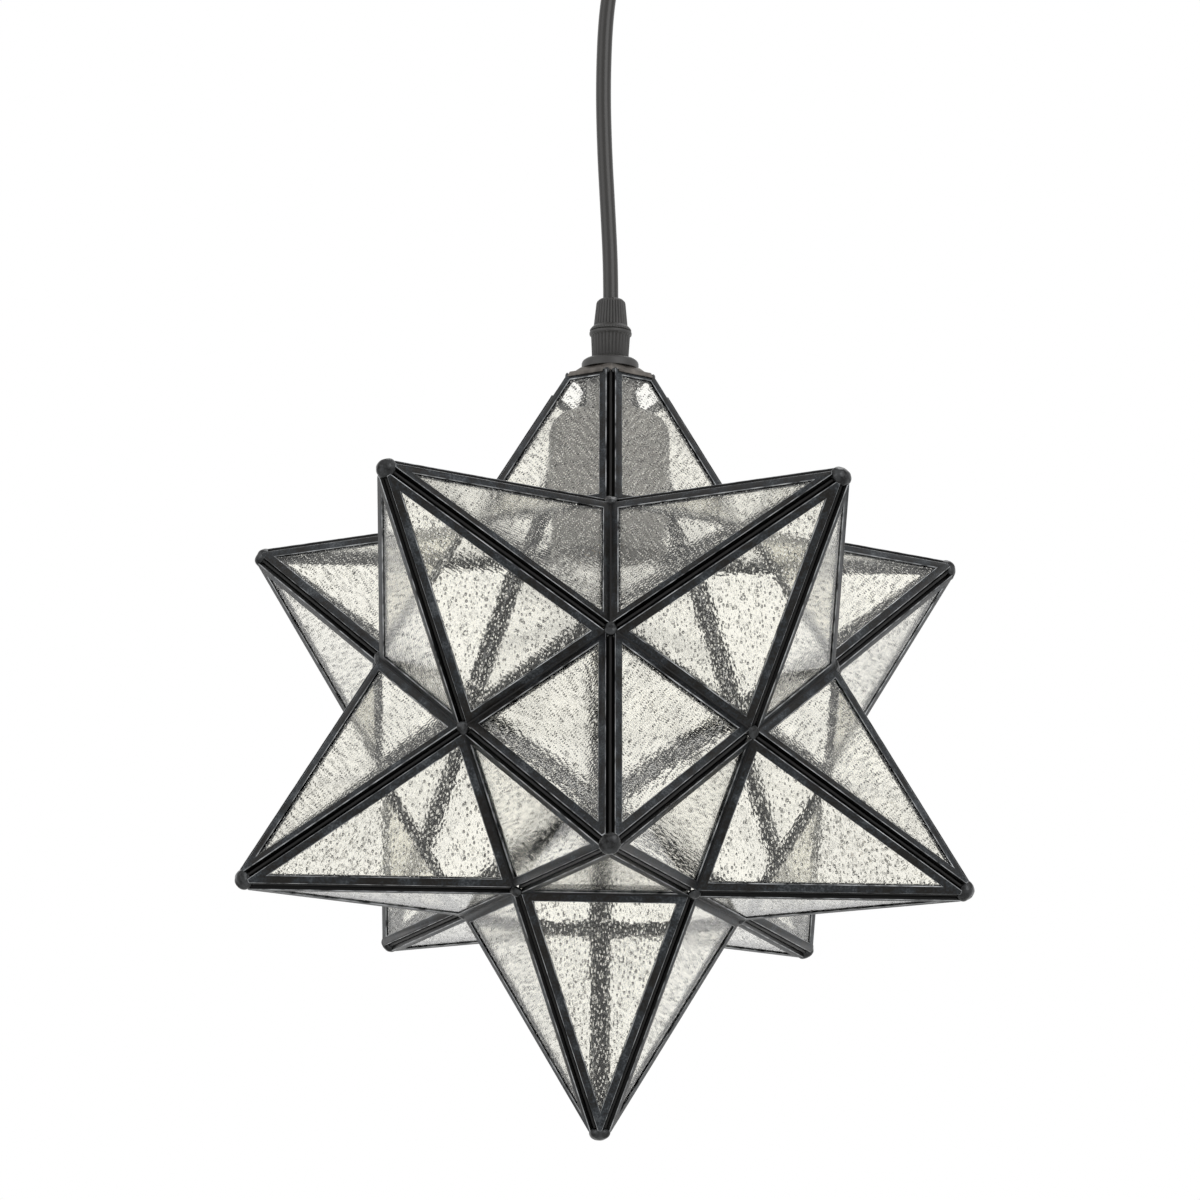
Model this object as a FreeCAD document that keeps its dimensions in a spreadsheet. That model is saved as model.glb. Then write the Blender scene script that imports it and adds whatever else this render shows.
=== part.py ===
import FreeCAD, Part
import math
import os
import Sketcher

# Star-shaped glass pendant: a small stellated dodecahedron of came-framed panes on a cord, under a
# ceiling canopy. Origin: centre of the crossbar's top face, on the ceiling; everything hangs to -Z.
# The front of the star faces -Y. Lengths are millimetres.

os.makedirs("parts", exist_ok=True)
doc = FreeCAD.newDocument("star_pendant")
V = FreeCAD.Vector

# --- driving sizes ---------------------------------------------------------------------------------

SIZES = {
    # star
    "pane_base": 73.0,             # edge of the dodecahedron core, base of every pane
    "star_drop": 390.0,            # ceiling to star centre
    "came_depth": 3.6,             # came, across the pane's thickness
    "came_leg": 3.5,               # came's visible leg, in the pane's plane
    "glass_thickness": 2.4,
    "glass_bite": 2.0,             # pane edge inside the channel
    "solder_gap": 0.05,            # between cames that are soldered side by side
    "tip_trim": 8.9,               # ideal apex to the square-cut cames, along the point's axis
    "tip_dome_radius": 4.9,
    "tip_dome_height": 4.6,
    "tip_dome_flat": 1.6,
    "tip_dome_crown": 2.9,
    "corner_bead_radius": 2.6,
    "corner_bead_height": 2.2,
    "corner_bead_sink": 1.1,       # bead's foot below the corner, between the came ends
    # top point
    "top_trim": 34.4,              # ideal apex to the long panes' top came
    "vent_trim": 43.2,             # ideal apex to the two short panes' top came
    "cap_corner_radius": 19.5,
    "cap_crown_radius": 13.2,
    "cap_height": 4.6,
    "cap_sheet": 1.2,
    # door
    "door_gap": 0.35,              # between the door's cames and the points around it
    "hinge_gap": 0.3,              # knuckle to each came face
    "knuckle_radius": 1.6,
    "pin_radius": 0.8,
    "pin_clearance": 0.08,
    "knuckle_length": 9.0,
    "knuckle_spacing": 0.4,
    "leaf_thickness": 0.7,
    "leaf_width": 3.2,
    "latch_offset": 9.0,           # ear's centre to the button's pivot, along the came
    "latch_ear_length": 7.0,
    "latch_reach": 2.9,            # ear's outer edge beyond the base edge
    "latch_sheet": 0.8,
    "latch_lift": 0.4,             # ear above the came it rests over
    "latch_clearance": 0.3,
    "button_length": 12.0,
    "button_width": 3.2,
    "post_radius": 0.9,
    "post_head_radius": 1.5,
    "post_head_height": 0.8,
    "post_clearance": 0.08,
    # cord grip on the star
    "thread_radius": 5.0,
    "thread_clearance": 0.05,
    "nipple_length": 24.0,
    "nipple_entry": 7.0,           # nipple's length inside the grip body
    "cord_bore_radius": 3.6,
    "washer_radius": 12.1,
    "washer_height": 4.5,
    "washer_bevel": 1.6,
    "grip_foot_radius": 7.75,
    "grip_top_radius": 8.3,
    "grip_height": 10.2,
    "ring_radius": 9.0,
    "ring_height": 3.4,
    "nut_foot_radius": 7.2,
    "nut_top_radius": 6.1,
    "nut_height": 12.6,
    "nut_bevel": 1.2,
    "rib_depth": 0.45,
    "rib_width": 0.9,
    "rib_count": 18,
    "lock_nut_flats": 17.0,
    "lock_nut_height": 5.0,
    # lampholder
    "neck_radius": 9.0,
    "holder_radius": 25.0,
    "holder_clearance": 0.8,       # shoulder to the top point's panes
    "holder_wall": 1.9,
    "shoulder_radius": 11.0,
    "dome_height": 19.6,
    "skirt_length": 42.0,
    "skirt_lip": 3.0,
    "insert_height": 8.0,
    "insert_clearance": 0.05,
    "shell_bore_radius": 13.3,
    "shell_wall": 0.5,
    "shell_length": 26.0,
    "contact_width": 5.0,
    "contact_length": 16.0,
    "contact_sheet": 0.6,
    "contact_drop": 4.0,
    "terminal_width": 7.0,
    "terminal_height": 7.0,
    "terminal_spread": 10.0,       # holder axis to a terminal's middle
    "core_radius": 0.95,
    "core_spread": 1.6,            # cord's axis to a core's axis
    "core_bend": 2.0,
    # cord
    "cord_radius": 3.25,
    # ceiling fitting
    "canopy_radius": 50.0,
    "canopy_height": 24.0,
    "canopy_wall": 1.2,
    "canopy_shoulder": 10.0,
    "bar_width": 16.0,
    "bar_sheet": 2.0,
    "bar_clearance": 0.4,
    "ear_length": 14.0,
    "bar_hole_spacing": 70.0,
    "bar_hole_radius": 2.2,
    "side_screw_radius": 1.65,
    "side_screw_drop": 8.0,
    "side_screw_length": 8.0,
    "side_screw_head": 3.4,
    "tapped_clearance": 0.05,
    "block_length": 22.0,
    "block_width": 12.0,
    "block_height": 10.0,
    "block_offset": 16.0,
    "ground_offset": 16.0,
    "upper_grip_radius": 8.0,
    "upper_grip_foot": 6.4,
    "upper_grip_height": 22.0,
    "upper_nut_height": 4.0,
    "bell_depth": 3.0,
    "bell_radius": 5.6,
    "set_screw_radius": 1.5,
    "flex_gap": 0.8,               # cord's tail to the swinging cord
    "tail_rise": 10.0,             # tail's end above the canopy's floor
    "tail_taper": 4.0,
}

sheet = doc.addObject("Spreadsheet::Sheet", "Sizes")
for row, (alias, value) in enumerate(SIZES.items(), start=1):
    sheet.set(f"A{row}", alias)
    sheet.set(f"B{row}", str(value))
    sheet.setAlias(f"B{row}", alias)
doc.recompute()


class Size:
    """A length or ratio that knows its number and its expression on the sheet."""

    def __init__(self, number, text):
        self.number = number
        self.text = text

    @staticmethod
    def of(other):
        return other if isinstance(other, Size) else Size(float(other), f"{float(other):.9f}")

    def __add__(self, other):
        other = Size.of(other)
        return Size(self.number + other.number, f"({self.text} + {other.text})")

    def __sub__(self, other):
        other = Size.of(other)
        return Size(self.number - other.number, f"({self.text} - {other.text})")

    def __mul__(self, other):
        other = Size.of(other)
        return Size(self.number * other.number, f"({self.text} * {other.text})")

    def __truediv__(self, other):
        other = Size.of(other)
        return Size(self.number / other.number, f"({self.text} / {other.text})")

    def __neg__(self):
        return Size(-self.number, f"(-1 * {self.text})")

    def root(self):
        return Size(math.sqrt(self.number), f"sqrt({self.text})")

    def __radd__(self, other):
        return Size.of(other) + self

    def __rsub__(self, other):
        return Size.of(other) - self

    def __rmul__(self, other):
        return Size.of(other) * self


def size(alias):
    return Size(SIZES[alias], f"Sizes.{alias}")


# --- sketch and solid helpers ----------------------------------------------------------------------

NODES = []          # sub-parts, in the order they are written


def new_body(name):
    return doc.addObject("PartDesign::Body", name)


def origin_plane(body, role):
    return next(item for item in body.Origin.OriginFeatures if item.Role == role)


def new_sketch(body, name, role, lift=0.0):
    """An empty sketch on one of the body's own planes, moved along its normal by lift."""
    sketch = body.newObject("Sketcher::SketchObject", name)
    sketch.AttachmentSupport = [(origin_plane(body, role), "")]
    sketch.MapMode = "FlatFace"
    lift = Size.of(lift)
    sketch.AttachmentOffset = FreeCAD.Placement(V(0, 0, lift.number), FreeCAD.Rotation())
    sketch.setExpression("AttachmentOffset.Base.z", lift.text)
    return sketch


def bind_point(sketch, curve, end, point):
    """Tie one end of a curve to named lengths from the sketch's origin."""
    for kind, length in (("DistanceX", point[0]), ("DistanceY", point[1])):
        row = sketch.addConstraint(Sketcher.Constraint(kind, -1, 1, curve, end, length.number))
        sketch.setExpression(f"Constraints[{row}]", length.text)


def arc_middle(start, end, radius):
    """Middle of the arc from start to end; a positive radius bulges to the right of the way."""
    chord = end - start
    half = chord.Length / 2
    rise = abs(radius) - math.sqrt(max(radius * radius - half * half, 0.0))
    side = V(chord.y, -chord.x, 0).normalize()
    return (start + end) / 2 + side * math.copysign(rise, radius)


def polygon(sketch, points):
    """Closed outline through (x, y) or (x, y, radius) corners; a radius bends the run that ends
    there into an arc of that radius."""
    points = [tuple(Size.of(item) for item in point) for point in points]
    spots = [V(point[0].number, point[1].number, 0) for point in points]
    ends = []
    for index, point in enumerate(points):
        start, end = spots[index - 1], spots[index]
        if len(point) == 3:
            curve = sketch.addGeometry(Part.Arc(start, arc_middle(start, end, point[2].number), end))
            counter = point[2].number > 0
            ends.append((curve, 1, 2) if counter else (curve, 2, 1))
            row = sketch.addConstraint(Sketcher.Constraint("Radius", curve, abs(point[2].number)))
            sketch.setExpression(f"Constraints[{row}]", f"abs({point[2].text})")
        else:
            curve = sketch.addGeometry(Part.LineSegment(start, end))
            ends.append((curve, 1, 2))
    for index, (curve, _, last) in enumerate(ends):
        following, first, _ = ends[(index + 1) % len(ends)]
        sketch.addConstraint(Sketcher.Constraint("Coincident", curve, last, following, first))
        bind_point(sketch, curve, last, points[index])


def circle(sketch, x, y, radius):
    """A circle about (x, y)."""
    x, y, radius = Size.of(x), Size.of(y), Size.of(radius)
    curve = sketch.addGeometry(Part.Circle(V(x.number, y.number, 0), V(0, 0, 1), radius.number))
    bind_point(sketch, curve, 3, (x, y))
    row = sketch.addConstraint(Sketcher.Constraint("Radius", curve, radius.number))
    sketch.setExpression(f"Constraints[{row}]", radius.text)


def pad(body, sketch, length, down=False, both_ways=False):
    feature = body.newObject("PartDesign::Pad", f"{sketch.Name}_pad")
    feature.Profile = sketch
    feature.setExpression("Length", Size.of(length).text)
    feature.Reversed = down
    feature.Midplane = both_ways
    sketch.Visibility = False
    return feature


def pocket(body, sketch, length=None, up=False, both_ways=False):
    """Cut the sketch's area: a stated length, or all the way through."""
    feature = body.newObject("PartDesign::Pocket", f"{sketch.Name}_pocket")
    feature.Profile = sketch
    if length is None:
        feature.Type = "ThroughAll"
    else:
        feature.setExpression("Length", Size.of(length).text)
    feature.Reversed = up
    feature.Midplane = both_ways
    return feature


def turned(name, outline):
    """A body of revolution about Z from an (r, z) outline."""
    body = new_body(name)
    sketch = new_sketch(body, f"{name}_profile", "XZ_Plane")
    polygon(sketch, outline)
    feature = body.newObject("PartDesign::Revolution", f"{name}_turn")
    feature.Profile = sketch
    feature.ReferenceAxis = (sketch, ["V_Axis"])
    feature.Angle = 360.0
    return body


def bend(start_r, start_z, radius, turns):
    """Points of a quarter round about (start_r, start_z), at the given degrees above level."""
    return [(start_r + radius * math.cos(math.radians(turn)),
             start_z + radius * math.sin(math.radians(turn))) for turn in turns]


def regular(radius, sides):
    """Corners of a regular polygon with one corner to the front."""
    spots = [math.radians(-90 + 360 / sides * index) for index in range(sides)]
    return [(radius * math.cos(spot), radius * math.sin(spot)) for spot in spots]


def prism(name, role, outline, length, down=False, both_ways=False, lift=0.0):
    """A body padded from a closed outline."""
    body = new_body(name)
    sketch = new_sketch(body, f"{name}_outline", role, lift)
    polygon(sketch, outline)
    pad(body, sketch, length, down, both_ways)
    return body


def faces_facing(feature, up):
    """Names of a feature's faces that look up (1), down (-1) or sideways (0)."""
    doc.recompute()
    return [f"Face{index}" for index, face in enumerate(feature.Shape.Faces, start=1)
            if round(face.normalAt(0, 0).z) == up]


def chamfered(name, sides, radius, height, rise, inset, both_ends=False):
    """A many-sided block whose end edges are cut back by inset over a height of rise."""
    body = prism(name, "XY_Plane", regular(radius, sides), height)
    feature = body.newObject("PartDesign::Chamfer", f"{name}_chamfer")
    ends = faces_facing(body.Group[1], 1) + (faces_facing(body.Group[1], -1) if both_ends else [])
    feature.Base = (body.Group[1], ends)
    feature.ChamferType = "Two distances"
    feature.setExpression("Size", Size.of(rise).text)
    feature.setExpression("Size2", Size.of(inset).text)
    return body


def move(x, y, z):
    return FreeCAD.Placement(V(x, y, z), FreeCAD.Rotation())


def copies(name, source, places):
    """Copies of a solid, gathered in one compound."""
    links = []
    for index, place in enumerate(places):
        link = doc.addObject("Part::Compound", f"{name}_{index}")
        link.Links = [source]
        link.Placement = place
        links.append(link)
    group = doc.addObject("Part::Compound", name)
    group.Links = links
    return group


def node(label, source, place=FreeCAD.Placement()):
    """Enter a solid or a group of solids as the sub-part called label."""
    item = doc.addObject("Part::Compound", f"node_{label}")
    item.Links = source if isinstance(source, list) else [source]
    item.Placement = place
    item.Label = label
    NODES.append(item)
    return item


def rod(name, radius, length, place=FreeCAD.Placement()):
    item = doc.addObject("Part::Cylinder", name)
    item.setExpression("Radius", Size.of(radius).text)
    item.setExpression("Height", Size.of(length).text)
    item.Placement = place
    return item


def cut(name, base, tool):
    item = doc.addObject("Part::Cut", name)
    item.Base = base
    item.Tool = tool
    return item


# --- geometry of the stellated dodecahedron ---------------------------------------------------------
# Each pane is a golden triangle. A point's five panes stand on a core face's edges; the pane that
# meets a neighbouring point lies in the plane of that neighbour's base.

GOLDEN = (1 + math.sqrt(5)) / 2
TAN_18 = math.tan(math.radians(18))
COS_18 = math.cos(math.radians(18))
TAN_RIDGE = math.tan(math.radians(116.56505 / 2))      # half the angle between two panes of a point
SLOPE = math.degrees(math.atan(2))                     # pane above its point's base plane
PER_AXIAL = math.sqrt(5) / 2                           # pane length for a unit of the point's axis

base = size("pane_base")
core_radius = base * (math.sqrt(25 + 11 * math.sqrt(5)) / math.sqrt(40))      # centre to a core face
base_inradius = base / (2 * math.tan(math.radians(36)))
point_height = base_inradius * 2
apex_radius = core_radius + point_height
pane_slant = base_inradius * math.sqrt(5)
star_centre = V(0, 0, -SIZES["star_drop"])


def direction(azimuth, elevation):
    azimuth, elevation = math.radians(azimuth), math.radians(elevation)
    level = math.cos(elevation)
    return V(math.sin(azimuth) * level, -math.cos(azimuth) * level, math.sin(elevation))


RING = math.degrees(math.atan(0.5))
POINTS = {
    "bottom": direction(0, -90),
    "lower_front": direction(0, -RING),
    "lower_right": direction(72, -RING),
    "lower_left": direction(-72, -RING),
    "lower_rear_right": direction(144, -RING),
    "lower_rear_left": direction(-144, -RING),
    "upper_right": direction(36, RING),
    "upper_left": direction(-36, RING),
    "side_right": direction(108, RING),
    "side_left": direction(-108, RING),
}
TOP = direction(0, 90)
DOOR = direction(180, RING)
EVERY_POINT = list(POINTS.values()) + [TOP, DOOR]


def point_place(axis):
    """Place of a point whose own axis is +Z and whose first pane faces -Y."""
    if (axis - DOOR).Length < 1e-6:
        neighbour = TOP
    else:
        neighbour = next(other for other in EVERY_POINT if 0.4 < axis.dot(other) < 0.5)
    front = (neighbour - axis * neighbour.dot(axis)).normalize()
    side = axis.cross(front)
    return FreeCAD.Placement(star_centre, FreeCAD.Rotation(side, -front, axis, "ZXY"))


def pane_place(index):
    """Place of a point's pane: X along its base edge, Y up the pane, Z out of it."""
    stand = FreeCAD.Placement(
        V(0, -base_inradius.number, core_radius.number), FreeCAD.Rotation(V(1, 0, 0), SLOPE))
    return FreeCAD.Placement(V(), FreeCAD.Rotation(V(0, 0, 1), 72 * index)) * stand


def pane_outline(trim, foot, inset):
    """Outline of a pane inside its ideal triangle: foot above the base edge, inset in from the
    ridges; the end is cut square at trim from the apex, or runs to a point if the ridges meet."""
    def half_width(height):
        return base / 2 - height * TAN_18 - inset / COS_18
    top = pane_slant - trim * PER_AXIAL
    if half_width(top).number <= 0:
        tip = (base / 2 - inset / COS_18) / TAN_18
        return [(-half_width(foot), foot), (half_width(foot), foot), (0, tip)]
    return [(-half_width(foot), foot), (half_width(foot), foot), (half_width(top), top),
            (-half_width(top), top)]


def pane_masters(name, trim, base_gap):
    """The came frame and the glass of one pane, in the pane's own plane, outer face at Z = 0."""
    depth, leg, bite = size("came_depth"), size("came_leg"), size("glass_bite")
    thickness = size("glass_thickness")
    ridge = depth / TAN_RIDGE + size("solder_gap")
    recess = (depth - thickness) / 2
    came = new_body(f"{name}_came")
    outline = new_sketch(came, f"{name}_came_outline", "XY_Plane")
    polygon(outline, pane_outline(trim, base_gap, ridge))
    pad(came, outline, depth, down=True)
    sight = new_sketch(came, f"{name}_sight", "XY_Plane")
    polygon(sight, pane_outline(trim + leg / PER_AXIAL, base_gap + leg, ridge + leg))
    pocket(came, sight)
    groove = new_sketch(came, f"{name}_groove", "XY_Plane", -recess)
    edge = leg - bite
    sheet_outline = pane_outline(trim + edge / PER_AXIAL, base_gap + edge, ridge + edge)
    polygon(groove, sheet_outline)
    pocket(came, groove, thickness)
    glass = prism(f"{name}_glass", "XY_Plane", sheet_outline, thickness, down=True, lift=-recess)
    return came, glass


point_came, point_glass = pane_masters("point_pane", size("tip_trim"), size("solder_gap"))
door_came, door_glass = pane_masters("door_pane", size("tip_trim"), size("door_gap"))
long_came, long_glass = pane_masters("long_pane", size("top_trim"), size("solder_gap"))
vent_came, vent_glass = pane_masters("vent_pane", size("vent_trim"), size("solder_gap"))

# --- the twelve points ------------------------------------------------------------------------------

ring_came = copies("ring_came", point_came, [pane_place(index) for index in range(5)])
ring_glass = copies("ring_glass", point_glass, [pane_place(index) for index in range(5)])
for label, axis in POINTS.items():
    node(f"came_{label}", ring_came, point_place(axis))
    node(f"glass_{label}", ring_glass, point_place(axis))

# The top point is cut short under the cap; its two side-rear panes end lower and leave vents.
top_place = point_place(TOP)


def top_pane_azimuth(index):
    facing = (top_place.Rotation * pane_place(index).Rotation).multVec(V(0, 0, 1))
    return math.degrees(math.atan2(facing.x, -facing.y))


vent_panes = [index for index in range(5) if 90 < abs(top_pane_azimuth(index)) < 126]
long_panes = [index for index in range(5) if index not in vent_panes]
for kind, long_master, vent_master in (("came", long_came, vent_came),
                                       ("glass", long_glass, vent_glass)):
    panes = [copies(f"top_{kind}_long", long_master, [pane_place(index) for index in long_panes]),
             copies(f"top_{kind}_vent", vent_master, [pane_place(index) for index in vent_panes])]
    node(f"{kind}_top", panes, top_place)

door_place = point_place(DOOR)
node("door_came", copies("door_ring_came", door_came, [pane_place(i) for i in range(5)]), door_place)
node("door_glass", copies("door_ring_glass", door_glass, [pane_place(i) for i in range(5)]), door_place)

# Solder: a dome on each square-cut tip and a bead in each inner corner.
dome = chamfered("tip_dome", 8, size("tip_dome_radius"), size("tip_dome_height"),
                 size("tip_dome_height") - size("tip_dome_flat"),
                 size("tip_dome_radius") - size("tip_dome_crown"))
tip_lift = (apex_radius - size("tip_trim")).number


def tip_place(axis):
    return point_place(axis) * move(0, 0, tip_lift)


node("tip_domes", copies("tip_dome_copy", dome, [tip_place(axis) for axis in POINTS.values()]))
node("door_tip_dome", copies("door_dome_copy", dome, [tip_place(DOOR)]))


def core_corners():
    """Unit directions of the core's corners, where three points meet."""
    found = []
    for first in EVERY_POINT:
        for second in EVERY_POINT:
            for third in EVERY_POINT:
                pairs = (first.dot(second), second.dot(third), third.dot(first))
                if all(0.4 < pair < 0.5 for pair in pairs):
                    corner = (first + second + third).normalize()
                    if all((corner - other).Length > 1e-6 for other in found):
                        found.append(corner)
    return found


corner_radius = base * (math.sqrt(3) * GOLDEN / 2)
bead = chamfered("corner_bead", 6, size("corner_bead_radius"), size("corner_bead_height"),
                 size("corner_bead_height") * 0.4, size("corner_bead_radius") * 0.4, both_ends=True)
bead_places = []
for corner in core_corners():
    beside_door = corner.dot(DOOR) > 0.75
    if not beside_door:
        turn = FreeCAD.Rotation(V(0, 0, 1), corner)
        foot = corner_radius - size("corner_bead_sink")
        bead_places.append(FreeCAD.Placement(star_centre + corner * foot.number, turn))
node("corner_beads", copies("corner_bead_copy", bead, bead_places))

# --- the door's hinge and latch ---------------------------------------------------------------------
# The door is the upper rear point. Its first base edge, under the top point, carries the hinge; the
# cames of the points around it lie flat in its base plane.

edge_turn = FreeCAD.Rotation(V(0, 0, 1), 180)


def edge_place(index):
    """Place on the door's base edge: X along it, Y away from the door, Z out of the base plane."""
    middle = FreeCAD.Placement(V(0, -base_inradius.number, core_radius.number), edge_turn)
    return door_place * FreeCAD.Placement(V(), FreeCAD.Rotation(V(0, 0, 1), 72 * index)) * middle


knuckle_lift = size("knuckle_radius") + size("hinge_gap")
knuckle_reach = knuckle_lift / GOLDEN
knuckle_pitch = size("knuckle_length") + size("knuckle_spacing")


def knuckle_master(name):
    """One knuckle with its leaf: X along the pin, Y away from the valley, Z off the came's face."""
    body = new_body(name)
    leaf_end = knuckle_reach + size("leaf_width") - size("knuckle_radius") / 2
    leaf = new_sketch(body, f"{name}_leaf", "YZ_Plane")
    polygon(leaf, [(knuckle_reach, 0), (leaf_end, 0), (leaf_end, size("leaf_thickness")),
                   (knuckle_reach, size("leaf_thickness"))])
    pad(body, leaf, size("knuckle_length"), both_ways=True)
    barrel = new_sketch(body, f"{name}_barrel", "YZ_Plane")
    circle(barrel, knuckle_reach, knuckle_lift, size("knuckle_radius"))
    pad(body, barrel, size("knuckle_length"), both_ways=True)
    bore = new_sketch(body, f"{name}_bore", "YZ_Plane")
    circle(bore, knuckle_reach, knuckle_lift, size("pin_radius") + size("pin_clearance"))
    pocket(body, bore, size("knuckle_length") + 2, both_ways=True)
    return body


knuckle = knuckle_master("knuckle")
node("hinge_knuckle_fixed", copies("knuckle_fixed", knuckle, [edge_place(0)]))
door_hinge_edge = door_place * pane_place(0)
node("hinge_knuckles_door", copies("knuckle_door", knuckle, [
    door_hinge_edge * move(-knuckle_pitch.number, 0, 0),
    door_hinge_edge * move(knuckle_pitch.number, 0, 0)]))

pin_length = knuckle_pitch * 2 + size("knuckle_length")
hinge_line = edge_place(0) * move(0, knuckle_reach.number, knuckle_lift.number)
pin = turned("pin", [
    (0, -pin_length / 2), (size("pin_radius"), -pin_length / 2), (size("pin_radius"), pin_length / 2),
    (size("knuckle_radius"), pin_length / 2), (size("knuckle_radius"), pin_length / 2 + 0.8),
    (0, pin_length / 2 + 0.8)])
along_edge = FreeCAD.Placement(V(), FreeCAD.Rotation(V(0, 1, 0), 90))
node("hinge_pin", pin, hinge_line * along_edge * move(0, 0, 0.1))

LATCH_EDGE = 2
latch_place = edge_place(LATCH_EDGE)
ear_top = size("latch_lift") + size("latch_sheet")
ear = prism("ear", "YZ_Plane", [
    (-size("latch_lift") / 2, size("latch_lift")), (size("latch_reach"), size("latch_lift")),
    (size("latch_reach"), ear_top), (-ear_top / 2, ear_top)], size("latch_ear_length"), both_ways=True)
node("latch_ear", ear, latch_place)

button_foot = ear_top + size("latch_clearance")
button_top = button_foot + size("latch_sheet")
pivot_place = latch_place * move(SIZES["latch_offset"], SIZES["came_leg"] / 2, 0)
post = turned("post", [
    (0, 0), (size("post_head_radius"), 0), (size("post_head_radius"), button_foot - 0.08),
    (size("post_radius"), button_foot - 0.08), (size("post_radius"), button_top + 0.08),
    (size("post_head_radius"), button_top + 0.08),
    (size("post_head_radius"), button_top + size("post_head_height")),
    (0, button_top + size("post_head_height"))])
node("latch_post", post, pivot_place)

half_button = size("button_width") / 2
button = prism("button", "XY_Plane", [
    (-half_button, 0), (half_button, 0, half_button * 1.02),
    (half_button, size("button_length") - half_button),
    (-half_button, size("button_length") - half_button, half_button * 1.02)],
    size("latch_sheet"), lift=button_foot)
button_hole = new_sketch(button, "button_hole", "XY_Plane", button_foot)
circle(button_hole, 0, 0, size("post_radius") + size("post_clearance"))
pocket(button, button_hole, size("latch_sheet") + 1, up=True)
node("latch_button", button, pivot_place)

# --- cap, cord grip and lampholder ------------------------------------------------------------------
# Heights in this section are from the star's centre, along the star's axis.

half_trim = size("top_trim") / 2
cap_rim = apex_radius - size("top_trim") - (half_trim - size("cap_corner_radius")
                                            * math.cos(math.radians(36))) / 2
cap_top = cap_rim + size("cap_height")


def on_axis(height):
    return move(0, 0, star_centre.z + height.number)


cap = prism("cap", "XY_Plane", regular(size("cap_corner_radius"), 5), size("cap_height"))
cap_block = cap.Group[1]
cap_slope = cap.newObject("PartDesign::Draft", "cap_slope")
cap_slope.Base = (cap_block, faces_facing(cap_block, 0))
cap_slope.NeutralPlane = (origin_plane(cap, "XY_Plane"), [""])
cap_run = (size("cap_corner_radius") - size("cap_crown_radius")) * math.cos(math.radians(36))
cap_slope.setExpression("Angle", f"atan({cap_run.text} / Sizes.cap_height)")
cap_hollow = cap.newObject("PartDesign::Thickness", "cap_hollow")
cap_hollow.Base = (cap_slope, faces_facing(cap_slope, -1))
cap_hollow.setExpression("Value", "Sizes.cap_sheet")
cap_hollow.Reversed = True
cap_hollow.Mode = "Skin"
cap_hollow.Join = "Intersection"
bore_radius = size("thread_radius") + size("thread_clearance")
cap_hole = new_sketch(cap, "cap_hole", "XY_Plane")
circle(cap_hole, 0, 0, bore_radius)
pocket(cap, cap_hole, up=True)
node("star_cap", cap, on_axis(cap_rim))

washer = turned("washer", [
    (bore_radius, 0), (size("washer_radius"), 0),
    (size("washer_radius"), size("washer_height") - size("washer_bevel")),
    (size("washer_radius") - size("washer_bevel"), size("washer_height")),
    (bore_radius, size("washer_height"))])
node("flange_washer", washer, on_axis(cap_top))

grip_foot = cap_top + size("washer_height")
ring_foot = size("grip_height")
ring_top = size("grip_height") + size("ring_height")


def ribbed(name, outline, low_radius, high_radius, height):
    """A turned piece with a polar row of fine vertical grooves along its side."""
    body = turned(name, outline)
    slot = new_sketch(body, f"{name}_slot", "XY_Plane")
    depth = size("rib_depth")
    half = size("rib_width") / 2
    polygon(slot, [(-half, low_radius + 1), (-half, low_radius), (0, low_radius - depth),
                   (half, low_radius), (half, low_radius + 1)])
    top = new_sketch(body, f"{name}_slot_top", "XY_Plane", height)
    polygon(top, [(-half, high_radius + 1), (-half, high_radius), (0, high_radius - depth),
                  (half, high_radius), (half, high_radius + 1)])
    groove = body.newObject("PartDesign::SubtractiveLoft", f"{name}_groove")
    groove.Profile = slot
    groove.Sections = [top]
    groove.Ruled = True
    row = body.newObject("PartDesign::PolarPattern", f"{name}_ribs")
    row.Originals = [groove]
    row.Axis = (slot, ["N_Axis"])
    row.Angle = 360.0
    row.setExpression("Occurrences", "Sizes.rib_count")
    body.Tip = row
    return body


grip = ribbed("grip", [
    (bore_radius, 0), (size("grip_foot_radius"), 0), (size("grip_top_radius"), ring_foot),
    (size("ring_radius"), ring_foot + 0.5), (size("ring_radius"), ring_top),
    (size("cord_bore_radius"), ring_top), (size("cord_bore_radius"), size("nipple_entry")),
    (bore_radius, size("nipple_entry"))],
    size("grip_foot_radius"), size("grip_top_radius"), size("grip_height"))
node("grip_body", grip, on_axis(grip_foot))

nut_foot = grip_foot + ring_top
nut_straight = size("nut_height") - size("nut_bevel")
grip_nut = ribbed("nut", [
    (size("cord_bore_radius"), 0), (size("nut_foot_radius"), 0), (size("nut_top_radius"), nut_straight),
    (size("nut_top_radius") - size("nut_bevel"), size("nut_height")),
    (size("cord_bore_radius"), size("nut_height"))],
    size("nut_foot_radius"), size("nut_top_radius"), nut_straight)
node("grip_nut", grip_nut, on_axis(nut_foot))

hex_radius = size("lock_nut_flats") / math.sqrt(3)
hexagon = [(hex_radius * math.cos(math.radians(60 * index)),
            hex_radius * math.sin(math.radians(60 * index))) for index in range(6)]
lock_nut = prism("lock_nut_solid", "XY_Plane", hexagon, size("lock_nut_height"))
lock_nut_hole = new_sketch(lock_nut, "lock_nut_hole", "XY_Plane")
circle(lock_nut_hole, 0, 0, bore_radius)
pocket(lock_nut, lock_nut_hole, up=True)
neck_top = cap_top - size("cap_sheet") - size("lock_nut_height")
node("lock_nut", lock_nut, on_axis(neck_top))

nipple = turned("nipple_solid", [
    (size("cord_bore_radius"), 0), (size("thread_radius"), 0),
    (size("thread_radius"), size("nipple_length")), (size("cord_bore_radius"), size("nipple_length"))])
node("nipple", nipple, on_axis(grip_foot + size("nipple_entry") - size("nipple_length")))

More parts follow.
